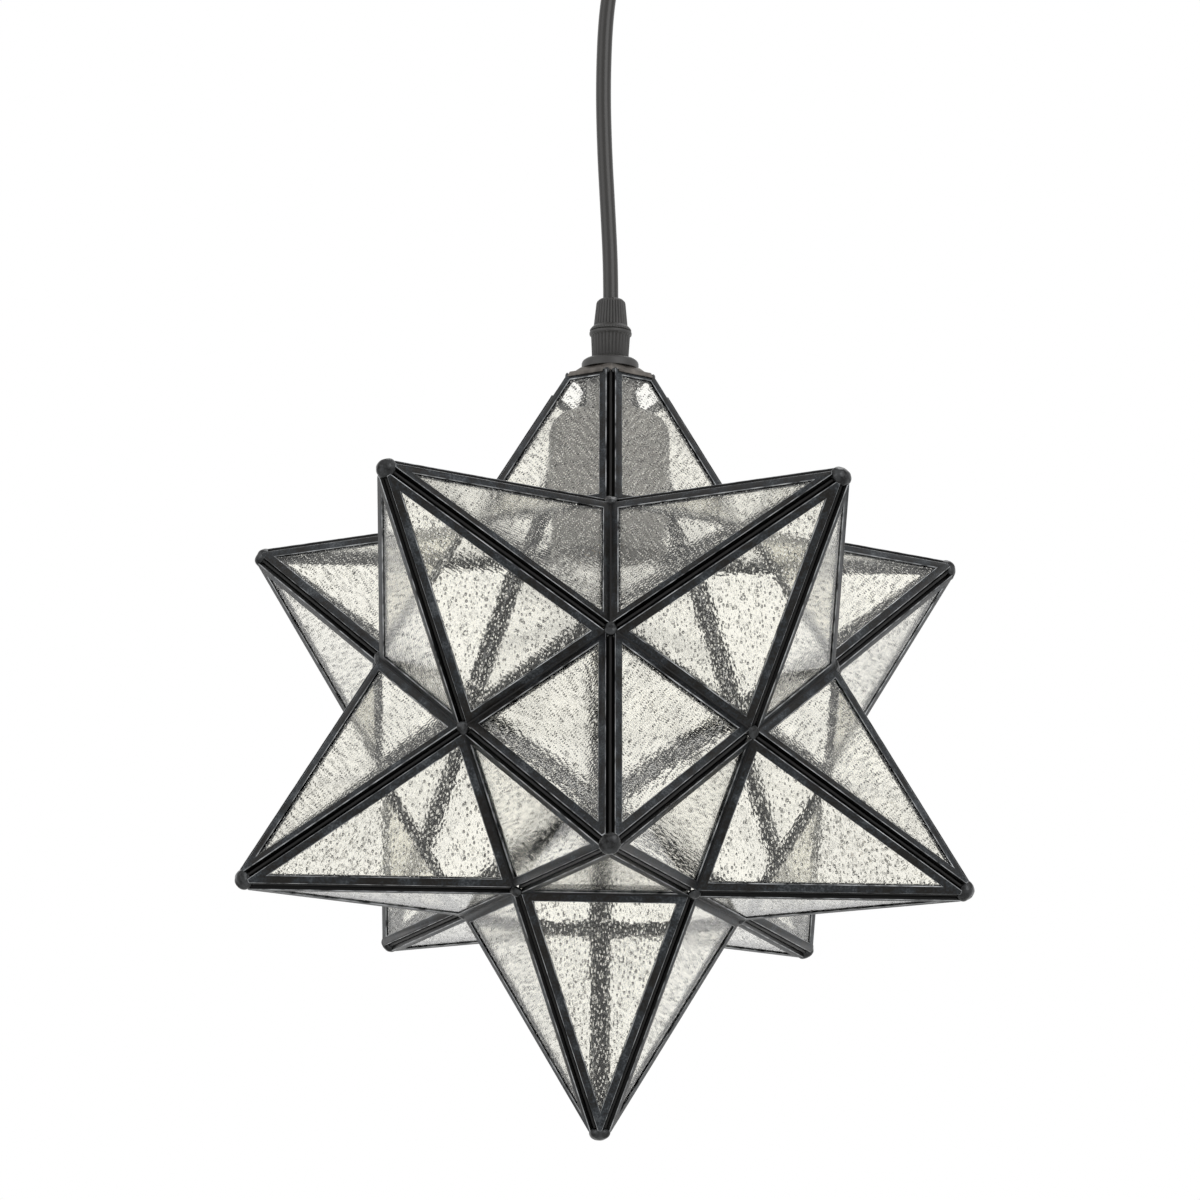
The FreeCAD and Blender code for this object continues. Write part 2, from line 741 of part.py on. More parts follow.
holder_inside = size("holder_radius") - size("holder_wall")
shoulder_height = size("dome_height") - size("shoulder_radius")
shoulder_start = size("holder_radius") - size("shoulder_radius")
pane_reach = (size("came_depth") + size("glass_thickness")) / 2      # ridge plane to the glass's inner face
shoulder_level = apex_radius - (pane_reach + size("holder_clearance") + size("shoulder_radius")
                                + shoulder_start * math.sin(math.radians(SLOPE))) \
    / math.cos(math.radians(SLOPE))
holder_foot = shoulder_level - shoulder_height
neck_foot = size("dome_height")
neck_end = neck_top - holder_foot
inner_round = size("shoulder_radius") - size("holder_wall")
holder_cap = turned("holder_cap_solid", [
    (bore_radius, neck_end), (size("neck_radius"), neck_end), (size("neck_radius"), neck_foot)]
    + bend(shoulder_start, shoulder_height, size("shoulder_radius"), (90, 60, 30, 0))
    + [(size("holder_radius"), 0), (holder_inside, 0)]
    + bend(shoulder_start, shoulder_height, inner_round, (0, 45, 90))
    + [(bore_radius, size("dome_height") - size("holder_wall"))])
node("holder_cap", holder_cap, on_axis(holder_foot))

skirt = turned("skirt", [
    (holder_inside, 0), (size("holder_radius"), 0), (size("holder_radius"), -size("skirt_length")),
    (size("holder_radius") - size("skirt_lip"), -size("skirt_length")),
    (holder_inside, size("skirt_lip") - size("holder_wall") - size("skirt_length"))])
node("holder_skirt", skirt, on_axis(holder_foot))

shell_radius = size("shell_bore_radius") + size("shell_wall")
insert_radius = holder_inside - size("insert_clearance")
insert = turned("insert", [
    (0, 0), (insert_radius, 0), (insert_radius, size("insert_height")), (0, size("insert_height"))])
insert_foot = holder_foot - size("insert_height")
node("holder_insert", insert, on_axis(insert_foot))

shell = turned("shell", [
    (size("shell_bore_radius"), 0), (shell_radius, 0), (shell_radius, -size("shell_length")),
    (size("shell_bore_radius"), -size("shell_length"))])
node("screw_shell", shell, on_axis(insert_foot))

contact_foot = size("contact_length") / 4
contact_sheet = size("contact_sheet")
contact = prism("contact", "XZ_Plane", [
    (-contact_foot * 2, 0), (-contact_foot * 2, -contact_sheet), (-contact_foot, -contact_sheet),
    (0, -size("contact_drop")), (contact_foot, -size("contact_drop")),
    (contact_foot, contact_sheet - size("contact_drop")),
    (contact_sheet / 2, contact_sheet - size("contact_drop")), (contact_sheet / 2 - contact_foot, 0)],
    size("contact_width"), both_ways=True)
node("centre_contact", contact, on_axis(insert_foot))

half_terminal = size("terminal_width") / 2
terminal = prism("terminal", "XY_Plane", [
    (-half_terminal, -half_terminal), (half_terminal, -half_terminal),
    (half_terminal, half_terminal), (-half_terminal, half_terminal)], size("terminal_height"))
screw_length = size("terminal_height") * 0.6
screw_radius = size("side_screw_radius") - 0.2
terminal_hole = new_sketch(terminal, "terminal_hole", "XY_Plane", size("terminal_height"))
circle(terminal_hole, 0, 0, screw_radius + size("tapped_clearance"))
pocket(terminal, terminal_hole, screw_length + 0.5)
terminal_screw = turned("terminal_screw", [
    (0, -screw_length), (screw_radius, -screw_length), (screw_radius, 0),
    (screw_radius * 1.8, 0), (screw_radius * 1.8, 1.6), (0, 1.6)])
sides = [-SIZES["terminal_spread"], SIZES["terminal_spread"]]
node("terminals", copies("terminal_copy", terminal, [
    on_axis(holder_foot) * move(side, 0, 0) for side in sides]))
node("terminal_screws", copies("terminal_screw_copy", terminal_screw, [
    on_axis(holder_foot + size("terminal_height")) * move(side, 0, 0) for side in sides]))

# --- ceiling fitting --------------------------------------------------------------------------------

canopy_inside = size("canopy_radius") - size("canopy_wall")
canopy_bend = size("canopy_radius") - size("canopy_shoulder")
wall_foot = size("canopy_shoulder") - size("canopy_height")
floor_top = size("canopy_wall") - size("canopy_height")
inner_bend = size("canopy_shoulder") - size("canopy_wall")
canopy_shell = turned("canopy_shell", [(canopy_inside, 0)]
                      + bend(canopy_bend, wall_foot, inner_bend, (0, -45, -90))
                      + [(bore_radius, floor_top), (bore_radius, -size("canopy_height"))]
                      + bend(canopy_bend, wall_foot, size("canopy_shoulder"), (-90, -60, -30, 0))
                      + [(size("canopy_radius"), 0)])
across = FreeCAD.Rotation(V(0, 1, 0), 90)
screw_drill = rod("screw_drill", size("side_screw_radius") + 0.15, size("canopy_radius") * 3,
                  FreeCAD.Placement(V(-SIZES["canopy_radius"] * 1.5, 0, -SIZES["side_screw_drop"]), across))
node("canopy", cut("canopy_drilled", canopy_shell, screw_drill))

half_bar = size("bar_width") / 2
bar_end = (canopy_inside * canopy_inside - half_bar * half_bar).root() - size("bar_clearance")
bar_inner = bar_end - size("bar_sheet")
crossbar = prism("crossbar_solid", "XZ_Plane", [
    (-bar_end, 0), (bar_end, 0), (bar_end, -size("ear_length")), (bar_inner, -size("ear_length")),
    (bar_inner, -size("bar_sheet")), (-bar_inner, -size("bar_sheet")),
    (-bar_inner, -size("ear_length")), (-bar_end, -size("ear_length"))],
    size("bar_width"), both_ways=True)
bar_holes = new_sketch(crossbar, "bar_holes", "XY_Plane")
circle(bar_holes, size("bar_hole_spacing") / 2, 0, size("bar_hole_radius"))
circle(bar_holes, -size("bar_hole_spacing") / 2, 0, size("bar_hole_radius"))
circle(bar_holes, -size("ground_offset"), 0, size("side_screw_radius") + size("tapped_clearance"))
pocket(crossbar, bar_holes)
ear_holes = new_sketch(crossbar, "ear_holes", "YZ_Plane")
circle(ear_holes, 0, -size("side_screw_drop"), size("side_screw_radius") + size("tapped_clearance"))
pocket(crossbar, ear_holes, size("canopy_radius") * 2, both_ways=True)
node("crossbar", crossbar)

head = size("side_screw_head")
side_screw = turned("side_screw", [
    (0, -size("side_screw_length")), (size("side_screw_radius"), -size("side_screw_length")),
    (size("side_screw_radius"), 0), (head, 0), (head, head / 4), (head / 2, head * 0.7),
    (0, head * 0.7)])
screw_places = [FreeCAD.Placement(V(side * SIZES["canopy_radius"], 0, -SIZES["side_screw_drop"]),
                                  FreeCAD.Rotation(V(0, 1, 0), 90 * side)) for side in (-1, 1)]
node("canopy_screws", copies("side_screw_copy", side_screw, screw_places))

ground_screw = turned("ground_screw_solid", [
    (0, 0), (size("side_screw_radius"), 0), (size("side_screw_radius"), -size("bar_sheet")),
    (head, -size("bar_sheet")), (head, -size("bar_sheet") - head / 2), (0, -size("bar_sheet") - head / 2)])
node("ground_screw", ground_screw, move(-SIZES["ground_offset"], 0, 0))

half_block = size("block_width") / 2
terminal_block = prism("terminal_block_solid", "YZ_Plane", [
    (-half_block, 0), (half_block, 0), (half_block, -size("block_height")),
    (-half_block, -size("block_height"))], size("block_length"), both_ways=True)
block_holes = new_sketch(terminal_block, "block_holes", "XY_Plane", -size("block_height"))
for third in (-1, 0, 1):
    circle(block_holes, size("block_length") * third / 3, 0, size("side_screw_radius"))
pocket(terminal_block, block_holes, size("block_height") / 3, up=True)
node("terminal_block", terminal_block, move(SIZES["block_offset"], 0, -SIZES["bar_sheet"]))

grip_neck = size("canopy_wall") + size("upper_nut_height") + 1
upper_height = size("upper_grip_height")
upper_grip = turned("upper_grip", [
    (size("cord_bore_radius"), grip_neck), (size("thread_radius"), grip_neck),
    (size("thread_radius"), 0), (size("upper_grip_radius"), 0),
    (size("upper_grip_radius"), -upper_height / 3), (size("upper_grip_foot"), -upper_height),
    (size("bell_radius"), -upper_height), (size("cord_bore_radius"), size("bell_depth") - upper_height)])
set_screw_hole = new_sketch(upper_grip, "set_screw_hole", "XZ_Plane")
circle(set_screw_hole, 0, -upper_height / 4, size("set_screw_radius") + size("tapped_clearance"))
pocket(upper_grip, set_screw_hole, size("upper_grip_radius") * 2, up=True)
canopy_underside = move(0, 0, -SIZES["canopy_height"])
node("canopy_grip", upper_grip, canopy_underside)

set_screw_length = size("upper_grip_radius") - size("cord_radius") - 0.6
outward = FreeCAD.Rotation(V(1, 0, 0), 90)
set_screw = rod("set_screw", size("set_screw_radius"), set_screw_length,
                FreeCAD.Placement(V(0, -SIZES["cord_radius"] - 0.1, -(upper_height / 4).number), outward))
node("grip_set_screw", set_screw, canopy_underside)

upper_nut = prism("upper_nut", "XY_Plane", hexagon, size("upper_nut_height"))
upper_nut_hole = new_sketch(upper_nut, "upper_nut_hole", "XY_Plane")
circle(upper_nut_hole, 0, 0, bore_radius)
pocket(upper_nut, upper_nut_hole, up=True)
node("canopy_grip_nut", upper_nut, move(0, 0, floor_top.number))

# The cord bends in the upper grip's bell mouth: its tail above that point stays with the canopy.
FLEX_RISE = 0.9
flex_height = FLEX_RISE - size("canopy_height") - size("upper_grip_height")
tail_foot = flex_height + size("flex_gap")
tail_top = floor_top + size("tail_rise")
cord_tail = turned("cord_tail_solid", [
    (0, tail_foot), (1, tail_foot), (size("cord_radius"), tail_foot + size("tail_taper")),
    (size("cord_radius"), tail_top), (0, tail_top)])
node("cord_tail", cord_tail)

# --- cord and cores ---------------------------------------------------------------------------------


def tube(name, points, radius):
    """A round tube of straight runs joined by tangent arcs, each as large as its runs allow."""
    spots = [V(*point) for point in points]
    edges = []
    radii = []
    start = spots[0]
    for before, corner, after in zip(spots, spots[1:], spots[2:]):
        arriving, leaving = (corner - before), (after - corner)
        half_turn = arriving.getAngle(leaving) / 2
        reach = 0.45 * min(arriving.Length, leaving.Length)
        arc_radius = reach / math.tan(half_turn)
        radii.append(arc_radius)
        arriving.normalize()
        leaving.normalize()
        first, last = corner - arriving * reach, corner + leaving * reach
        inward = (leaving - arriving).normalize()
        middle = corner + inward * (arc_radius / math.cos(half_turn) - arc_radius)
        edges.append(Part.LineSegment(start, first).toShape())
        edges.append(Part.Arc(first, middle, last).toShape())
        start = last
    edges.append(Part.LineSegment(start, spots[-1]).toShape())
    path = Part.Wire(edges)
    section = Part.Wire(Part.makeCircle(radius, spots[0], spots[1] - spots[0]))
    solid = path.makePipeShell([section], True, False)
    expected = math.pi * radius ** 2 * path.Length
    print(f"{name}: length {path.Length:.1f}, radii {[round(each, 1) for each in radii]}, "
          f"volume ratio {solid.Volume / expected:.4f}")
    item = doc.addObject("Part::Feature", name)
    item.Shape = solid
    return item


# The cord's route, chosen by hand: a slight S between the bell mouth and the grip nut.
CORD_ROUTE = [
    (0.0, 0.0, flex_height.number),
    (-0.6, 0.0, -60.0),
    (-3.9, 0.0, -80.0),
    (-4.7, 0.0, -112.0),
    (-3.7, 0.0, -141.0),
    (-1.9, 0.0, -168.0),
    (-0.2, 0.0, -196.0),
    (0.05, 0.0, -230.0),
    (0.0, 0.0, -263.0),
]
node("cord", tube("cord_run", CORD_ROUTE, SIZES["cord_radius"]))



def core(name, corners, radius):
    """A stiff wire bent in straight runs with mitred corners."""
    path = Part.makePolygon([V(*corner) for corner in corners])
    section = Part.Wire(Part.makeCircle(radius, V(*corners[0]), V(*corners[1]) - V(*corners[0])))
    item = doc.addObject("Part::Feature", name)
    item.Shape = path.makePipeShell([section], True, False, 1)
    return item


spread, bevel = SIZES["core_spread"], SIZES["core_bend"]
terminal_face = SIZES["terminal_spread"] - SIZES["terminal_width"] / 2
core_level = star_centre.z + (holder_foot + size("terminal_height") / 2).number
node("lamp_cores", [
    core(f"lamp_core_{side}", [
        (side * spread, 0, CORD_ROUTE[-1][2]), (side * spread, 0, core_level + bevel),
        (side * (spread + bevel), 0, core_level), (side * terminal_face, 0, core_level)],
        SIZES["core_radius"]) for side in (-1, 1)])

block_face = SIZES["block_offset"] - SIZES["block_length"] / 2
mains_level = -SIZES["bar_sheet"] - SIZES["block_height"] / 2
node("mains_cores", [
    core(f"mains_core_{side}", [
        (0, side * spread, tail_top.number), (0, side * spread, mains_level - bevel),
        (bevel, side * spread, mains_level), (block_face, side * spread, mains_level)],
        SIZES["core_radius"]) for side in (-1, 1)])

# --- joints, checks and files -----------------------------------------------------------------------

doc.recompute()


def report(name, place, axis):
    turned_axis = place.Rotation.multVec(axis)
    spot = [round(value, 4) for value in place.Base]
    print(f"{name}: at {spot}, axis {[round(value, 6) for value in turned_axis]}")


report("swing", move(0, 0, flex_height.number), V(0, 1, 0))
report("door hinge", hinge_line, V(1, 0, 0))
report("latch pivot", pivot_place, V(0, 0, 1))
print("star centre", star_centre.z, "cap rim", cap_rim.number, "grip foot", grip_foot.number,
      "nut foot", nut_foot.number, "neck top", neck_top.number, "holder foot", holder_foot.number)

for item in doc.Objects:
    if "Invalid" in item.State or "Error" in item.State:
        raise RuntimeError(f"{item.Name} failed: {item.State}")
for item in NODES:
    if item.Shape.isNull() or not item.Shape.isValid() or not item.Shape.Solids:
        raise RuntimeError(f"{item.Label} has no valid solid")
for item in NODES:
    item.Shape.exportStep(f"parts/{item.Label}.step")
print(len(NODES), "sub-parts,", sum(len(item.Shape.Solids) for item in NODES), "solids")
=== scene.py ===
"""Star-shaped glass pendant on a cord, dressed around its solids. Lengths are metres."""

import math
import random

import bmesh
import bpy
from mathutils import Matrix, Vector


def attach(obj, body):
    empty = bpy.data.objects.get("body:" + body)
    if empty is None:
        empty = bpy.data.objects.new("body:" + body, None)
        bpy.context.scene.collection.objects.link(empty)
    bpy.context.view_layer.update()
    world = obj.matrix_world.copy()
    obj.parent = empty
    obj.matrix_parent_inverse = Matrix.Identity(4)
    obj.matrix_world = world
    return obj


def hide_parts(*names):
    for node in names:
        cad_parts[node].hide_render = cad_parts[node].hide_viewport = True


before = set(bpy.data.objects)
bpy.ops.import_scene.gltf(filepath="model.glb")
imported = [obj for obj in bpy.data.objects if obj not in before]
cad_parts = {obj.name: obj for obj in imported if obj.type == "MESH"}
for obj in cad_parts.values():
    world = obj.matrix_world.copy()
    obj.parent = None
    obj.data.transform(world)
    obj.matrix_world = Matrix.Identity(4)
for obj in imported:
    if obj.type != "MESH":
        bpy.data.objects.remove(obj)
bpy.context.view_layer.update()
MM = 0.001

# --- view -------------------------------------------------------------------------------------------
# The pendant is seen from the front, a little from below, by a long lens. The star's centre is given
# from the eye, along the eye's own axes.

STAR_CENTRE = Vector((0, 0, -390 * MM))
EYE_PITCH, EYE_ROLL, EYE_YAW = (math.radians(degrees) for degrees in (-11.848, 0.778, 1.002))
CENTRE_FROM_EYE = Vector((2.22 * MM, 2257.83 * MM, -50.43 * MM))
SENSOR_WIDTH = 36.0
FOCAL_LENGTH = 161.75
NEAREST, FARTHEST = 0.05, 60.0
eye_turn = (Matrix.Rotation(EYE_PITCH, 3, "X") @ Matrix.Rotation(EYE_ROLL, 3, "Y")
            @ Matrix.Rotation(EYE_YAW, 3, "Z"))
lens_axes = Matrix(((1, 0, 0), (0, 0, -1), (0, 1, 0)))
eye = bpy.data.objects.new("eye", bpy.data.cameras.new("eye"))
eye.data.sensor_width = SENSOR_WIDTH
eye.data.lens = FOCAL_LENGTH
eye.data.clip_start = NEAREST
eye.data.clip_end = FARTHEST
eye.matrix_world = (Matrix.Translation(STAR_CENTRE - eye_turn.transposed() @ CENTRE_FROM_EYE)
                    @ (eye_turn.transposed() @ lens_axes).to_4x4())
bpy.context.scene.collection.objects.link(eye)
bpy.context.scene.camera = eye

# --- hanging cord -----------------------------------------------------------------------------------
# The flex is round and smooth, sheathed in black plastic. The star hangs on it: it leaves the bell
# mouth under the canopy, keeps a slight S from the coil it came in, and ends below the grip's nipple.


class Signal:
    """One output in a material's nodes. Python's operators on it add Math nodes."""

    def __init__(self, finish, socket):
        self.finish = finish
        self.socket = socket

    def maths(self, operation, first, second=0.0):
        return self.finish.add("ShaderNodeMath", {"operation": operation}, {0: first, 1: second})

    def __add__(self, other):
        return self.maths("ADD", self, other)

    def __sub__(self, other):
        return self.maths("SUBTRACT", self, other)

    def __mul__(self, other):
        return self.maths("MULTIPLY", self, other)

    def __truediv__(self, other):
        return self.maths("DIVIDE", self, other)

    def __pow__(self, other):
        return self.maths("POWER", self, other)

    def __rsub__(self, other):
        return self.maths("SUBTRACT", other, self)

    def __rtruediv__(self, other):
        return self.maths("DIVIDE", other, self)

    __radd__ = __add__
    __rmul__ = __mul__


class Finish:
    """A material in the making: its Principled shader, and the nodes that vary it."""

    def __init__(self, name, **constants):
        self.material = bpy.data.materials.new(name)
        self.material.use_nodes = True
        self.tree = self.material.node_tree
        self.shader = self.tree.nodes["Principled BSDF"]
        for socket, value in constants.items():
            self.shader.inputs[socket.replace("_", " ")].default_value = value

    def add(self, kind, settings=None, sockets=None, output=0):
        """One node of a kind, its settings made before its sockets are filled or linked."""
        made = self.tree.nodes.new(kind)
        for setting, value in (settings or {}).items():
            if setting == "stops":
                ramp = made.color_ramp.elements
                while len(ramp) < len(value):
                    ramp.new(1.0)
                for element, (position, shade) in zip(ramp, value):
                    element.position = position
                    element.color = (*shade, 1.0) if isinstance(shade, tuple) else (shade,) * 3 + (1.0,)
            else:
                setattr(made, setting, value)
        for key, value in (sockets or {}).items():
            if isinstance(value, Signal):
                self.tree.links.new(value.socket, made.inputs[key])
            else:
                made.inputs[key].default_value = value
        return Signal(self, made.outputs[output])

    def feed(self, **links):
        """Link signals to the shader's own sockets."""
        for socket, signal in links.items():
            self.tree.links.new(signal.socket, self.shader.inputs[socket.replace("_", " ")])

    def place(self, scale=(1, 1, 1), source="Object"):
        """Object or UV coordinates, stretched."""
        outputs = {"Object": 3, "UV": 2}
        return self.add("ShaderNodeMapping", {}, {
            "Vector": self.add("ShaderNodeTexCoord", output=outputs[source]), "Scale": scale})

    def grain(self, size, detail=3.0, place=None):
        """Soft noise whose patches are about size across."""
        return self.add("ShaderNodeTexNoise", {}, {
            "Vector": place or self.place(), "Scale": 1 / size, "Detail": detail, "Roughness": 0.55})

    def ramp(self, signal, *stops):
        """A signal turned into the shades or levels of a ramp's stops."""
        return self.add("ShaderNodeValToRGB", {"stops": stops}, {"Fac": signal})

    def mix(self, factor, first, second):
        """A blend of two colours, the second where the factor is 1."""
        colours = {key: value if isinstance(value, Signal) else (*value, 1.0)
                   for key, value in ((6, first), (7, second))}
        return self.add("ShaderNodeMix", {"data_type": "RGBA", "blend_type": "MIX"},
                        {0: factor, **colours}, output=2)

    def bump(self, height, depth):
        """Normals of a relief whose height signal runs over depth metres."""
        sockets = {"Height": height, "Distance": depth, "Strength": 1.0}
        self.feed(Normal=self.add("ShaderNodeBump", {}, sockets))


def shade(level, warmth=0.0):
    """A grey as it is seen, with a lean to warm or cool, in linear light."""
    return tuple((max(level + lean, 0) / 255) ** 2.2 for lean in (warmth, 0, -warmth))


sheath = Finish("cord_sheath", Roughness=0.42, Specular_IOR_Level=0.5)
sheath_wear = sheath.grain(9 * MM)
sheath.feed(Base_Color=sheath.mix(sheath_wear, shade(30, 1), shade(40, 2)),
            Roughness=0.24 + sheath_wear * 0.1)
sheath.bump(sheath.grain(1.2 * MM), 0.04 * MM)

CORD_RADIUS = 3.25 * MM
CORD_ROUTE = [
    (0.0, 0.0, -45.1),
    (-0.6, 0.0, -60.0),
    (-3.9, 0.0, -80.0),
    (-4.7, 0.0, -112.0),
    (-3.7, 0.0, -141.0),
    (-1.9, 0.0, -168.0),
    (-0.2, 0.0, -196.0),
    (0.05, 0.0, -230.0),
    (0.0, 0.0, -263.0),
]
flex_curve = bpy.data.curves.new("hanging_cord", "CURVE")
flex_curve.dimensions = "3D"
flex_line = flex_curve.splines.new("NURBS")
flex_line.points.add(len(CORD_ROUTE) - 1)
for point, spot in zip(flex_line.points, CORD_ROUTE):
    point.co = (*(value * MM for value in spot), 1.0)
flex_line.order_u = 3
flex_line.use_endpoint_u = True
flex_line.resolution_u = 12
flex_curve.bevel_depth = CORD_RADIUS
flex_curve.bevel_resolution = 8
flex_curve.use_fill_caps = True
flex_curve.materials.append(sheath.material)
hanging_cord = bpy.data.objects.new("hanging_cord", flex_curve)
bpy.context.scene.collection.objects.link(hanging_cord)
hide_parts("cord")
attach(hanging_cord, "star")


def dress(material, *names):
    """Give solids that keep their shape their finish."""
    for name in names:
        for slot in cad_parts[name].material_slots:
            slot.material = material


dress(sheath.material, "cord_tail")

# --- glass panes ------------------------------------------------------------------------------------
# Sixty panes of clear seedy sheet glass, each a tapering triangle cut by hand from a larger sheet.
# The sheet is rolled, so its faces are finely dimpled, with streaks along the rolling direction and
# small bubbles; every pane was cut at its own angle.

GLASS_SEED = 4
SHEET_LENGTH = 0.6
CUT_TURN = 0.5
RELIEF_DEPTH = 0.1 * MM
STAR_POINTS = ("bottom", "lower_front", "lower_right", "lower_left", "lower_rear_right",
               "lower_rear_left", "upper_right", "upper_left", "side_right", "side_left", "top")


def merged(node):
    """A clean copy of a solid's mesh: doubles merged, flat faces whole."""
    copy = bmesh.new()
    copy.from_mesh(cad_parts[node].data)
    bmesh.ops.remove_doubles(copy, verts=copy.verts, dist=0.002 * MM)
    bmesh.ops.dissolve_limit(copy, angle_limit=math.radians(1), verts=copy.verts, edges=copy.edges)
    return copy


def settle(name, mesh, material, body, slot, *nodes):
    """Make a finished mesh a piece: its material, its body and the solids it stands for. Its slot is not
    used.
    """
    if isinstance(mesh, bmesh.types.BMesh):
        data = bpy.data.meshes.new(name)
        mesh.to_mesh(data)
        mesh.free()
        mesh = data
    mesh.materials.clear()
    mesh.materials.append(material)
    piece = bpy.data.objects.new(name, mesh)
    bpy.context.scene.collection.objects.link(piece)
    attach(piece, body)
    if nodes:
        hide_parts(*nodes)
    return piece


def islands(mesh):
    """The separate pieces of a mesh, each a list of its vertices."""
    left = set(mesh.verts)
    found = []
    while left:
        group, edge = set(), [min(left, key=lambda vertex: vertex.index)]
        while edge:
            vertex = edge.pop()
            if vertex not in group:
                group.add(vertex)
                edge += [link.other_vert(vertex) for link in vertex.link_edges]
        left -= group
        found.append(sorted(group, key=lambda vertex: vertex.index))
    return found


def lay_out_panes(mesh, draw):
    """Give each pane its own patch of the sheet: a UV map in metres and a number for its texture."""
    sheet_map = mesh.loops.layers.uv.new("sheet")
    kind = mesh.verts.layers.float.new("pane_kind")
    mesh.verts.index_update()
    for pane in islands(mesh):
        faces = {face for vertex in pane for face in vertex.link_faces}
        outward = max(faces, key=lambda face: face.calc_area()).normal.copy()
        middle = sum((vertex.co for vertex in pane), Vector()) / len(pane)
        along = max(pane, key=lambda vertex: (vertex.co - STAR_CENTRE).length).co - middle
        along = (along - outward * along.dot(outward)).normalized()
        along.rotate(Matrix.Rotation(draw.uniform(-CUT_TURN, CUT_TURN), 3, outward))
        across = outward.cross(along)
        start = (draw.uniform(0, SHEET_LENGTH), draw.uniform(0, SHEET_LENGTH))
        number = draw.random()
        for vertex in pane:
            vertex[kind] = number
        for face in faces:
            for loop in face.loops:
                offset = loop.vert.co - middle
                loop[sheet_map].uv = (offset.dot(across) + start[0], offset.dot(along) + start[1])


glass = Finish("seedy_glass", Roughness=0.0, IOR=1.46, Transmission_Weight=1.0)
sheet_place = glass.place(source="UV")
pane_kind = glass.add("ShaderNodeAttribute", {"attribute_name": "pane_kind"}, output=2)
streaked = glass.add("ShaderNodeMapRange", {"interpolation_type": "SMOOTHSTEP"}, {
    "Value": pane_kind, "From Min": 0.35, "From Max": 0.8})


def specks(cell, smallest, largest, rarity):
    """Scattered round spots of varied size: their distance from the middle, 1 at the rim."""
    scatter = {"Vector": sheet_place, "Scale": 1 / cell, "Randomness": 1.0}
    flat = {"voronoi_dimensions": "2D", "feature": "F1"}
    near = glass.add("ShaderNodeTexVoronoi", flat, scatter)
    tint = glass.add("ShaderNodeTexVoronoi", flat, scatter, output=1)
    chance = glass.add("ShaderNodeSeparateColor", {}, {"Color": tint})
    return near * cell / (smallest + chance ** rarity * (largest - smallest))


dimples = glass.add("ShaderNodeTexVoronoi", {"feature": "F1"}, {
    "Vector": sheet_place, "Scale": 1 / (1.5 * MM), "Randomness": 1.0})
swell = glass.grain(7 * MM, 1.0, sheet_place)
rolled = glass.grain(0.85 * MM, 1.0, glass.place(scale=(1.0, 0.11, 1.0), source="UV"))
bubbles = specks(cell=5.2 * MM, smallest=0.2 * MM, largest=1.2 * MM, rarity=2.0)
seeds = specks(cell=2.2 * MM, smallest=0.12 * MM, largest=0.52 * MM, rarity=2.0)
motes = specks(cell=1.5 * MM, smallest=0.06 * MM, largest=0.4 * MM, rarity=1.0)
bubble_dome = glass.ramp(bubbles, (0.0, 1.0), (0.75, 0.75), (1.0, 0.0))
bubble_rim = glass.ramp(bubbles, (0.5, 0.0), (0.8, 1.0), (1.0, 0.0))
seed_dome = glass.ramp(seeds, (0.0, 1.0), (1.0, 0.0))
seed_core = glass.ramp(seeds, (0.0, 1.0), (0.35, 1.0), (0.5, 0.0))
seed_rim = glass.ramp(seeds, (0.35, 0.0), (0.55, 1.0), (0.92, 1.0), (1.0, 0.0))
relief = (dimples * (1.0 - streaked * 0.7) * 0.2 + rolled * streaked * 0.4 + swell * 0.3
          + bubble_dome + seed_dome * 3.0)
glass.bump(relief, RELIEF_DEPTH)
mote_core = glass.ramp(motes, (0.0, 1.0), (0.6, 1.0), (1.0, 0.0))
glint = seed_core + mote_core * (1.0 - seed_core)
# The rims of bubbles and seeds are darkened in colour: painted shade for the dark edge that refraction gives
# an air bubble.
clear_tint, rim_shade_tint, glint_tint = (0.995, 0.985, 0.94), (0.08, 0.078, 0.072), (0.8, 0.79, 0.74)
seeded = glass.mix(glint, glass.mix(seed_rim, clear_tint, rim_shade_tint), glint_tint)
glass.feed(Base_Color=glass.mix(bubble_rim * 0.6, seeded, rim_shade_tint), Metallic=glint * 0.8)

glass_draw = random.Random(GLASS_SEED)
for point in STAR_POINTS:
    panes = merged(f"glass_{point}")
    lay_out_panes(panes, glass_draw)
    settle(f"panes_{point}", panes, glass.material, "star", "glass", f"glass_{point}")
door_panes = merged("door_glass")
lay_out_panes(door_panes, glass_draw)
settle("panes_door", door_panes, glass.material, "door", "glass", "door_glass")

# --- came -------------------------------------------------------------------------------------------
# Each pane sits in a closed ring of U channel, of soft drawn metal with slightly rounded edges. Two
# channels lie back to back on every ridge and leave a fine groove between them, whose walls carry
# painted shade. All of it is blackened with patina, streaky where it was rubbed along the strip.

CAME_EDGE = 0.35 * MM

patina = Finish("black_patina", Metallic=0.75, Specular_IOR_Level=0.5)
patina_cloud = patina.grain(11 * MM, 4.0)
patina_brush = patina.grain(0.9 * MM, 3.0)
channel_side = patina.add("ShaderNodeAttribute", {"attribute_name": "channel_side"}, output=2)
patina_tone = patina.ramp(patina_cloud * 0.6 + patina_brush * 0.4, (0.34, shade(28, 2)),
                          (0.45, shade(36, 1)), (0.55, shade(50, -3)), (0.66, shade(82, -3)))
# The groove walls, the faces square to the pane, are painted near black: painted shade of the groove.
patina.feed(Base_Color=patina.mix(channel_side, patina_tone, shade(12)),
            Roughness=(0.3 + patina_cloud * 0.3) * (1.0 - channel_side * 0.3))
patina.bump(patina_brush, 0.05 * MM)

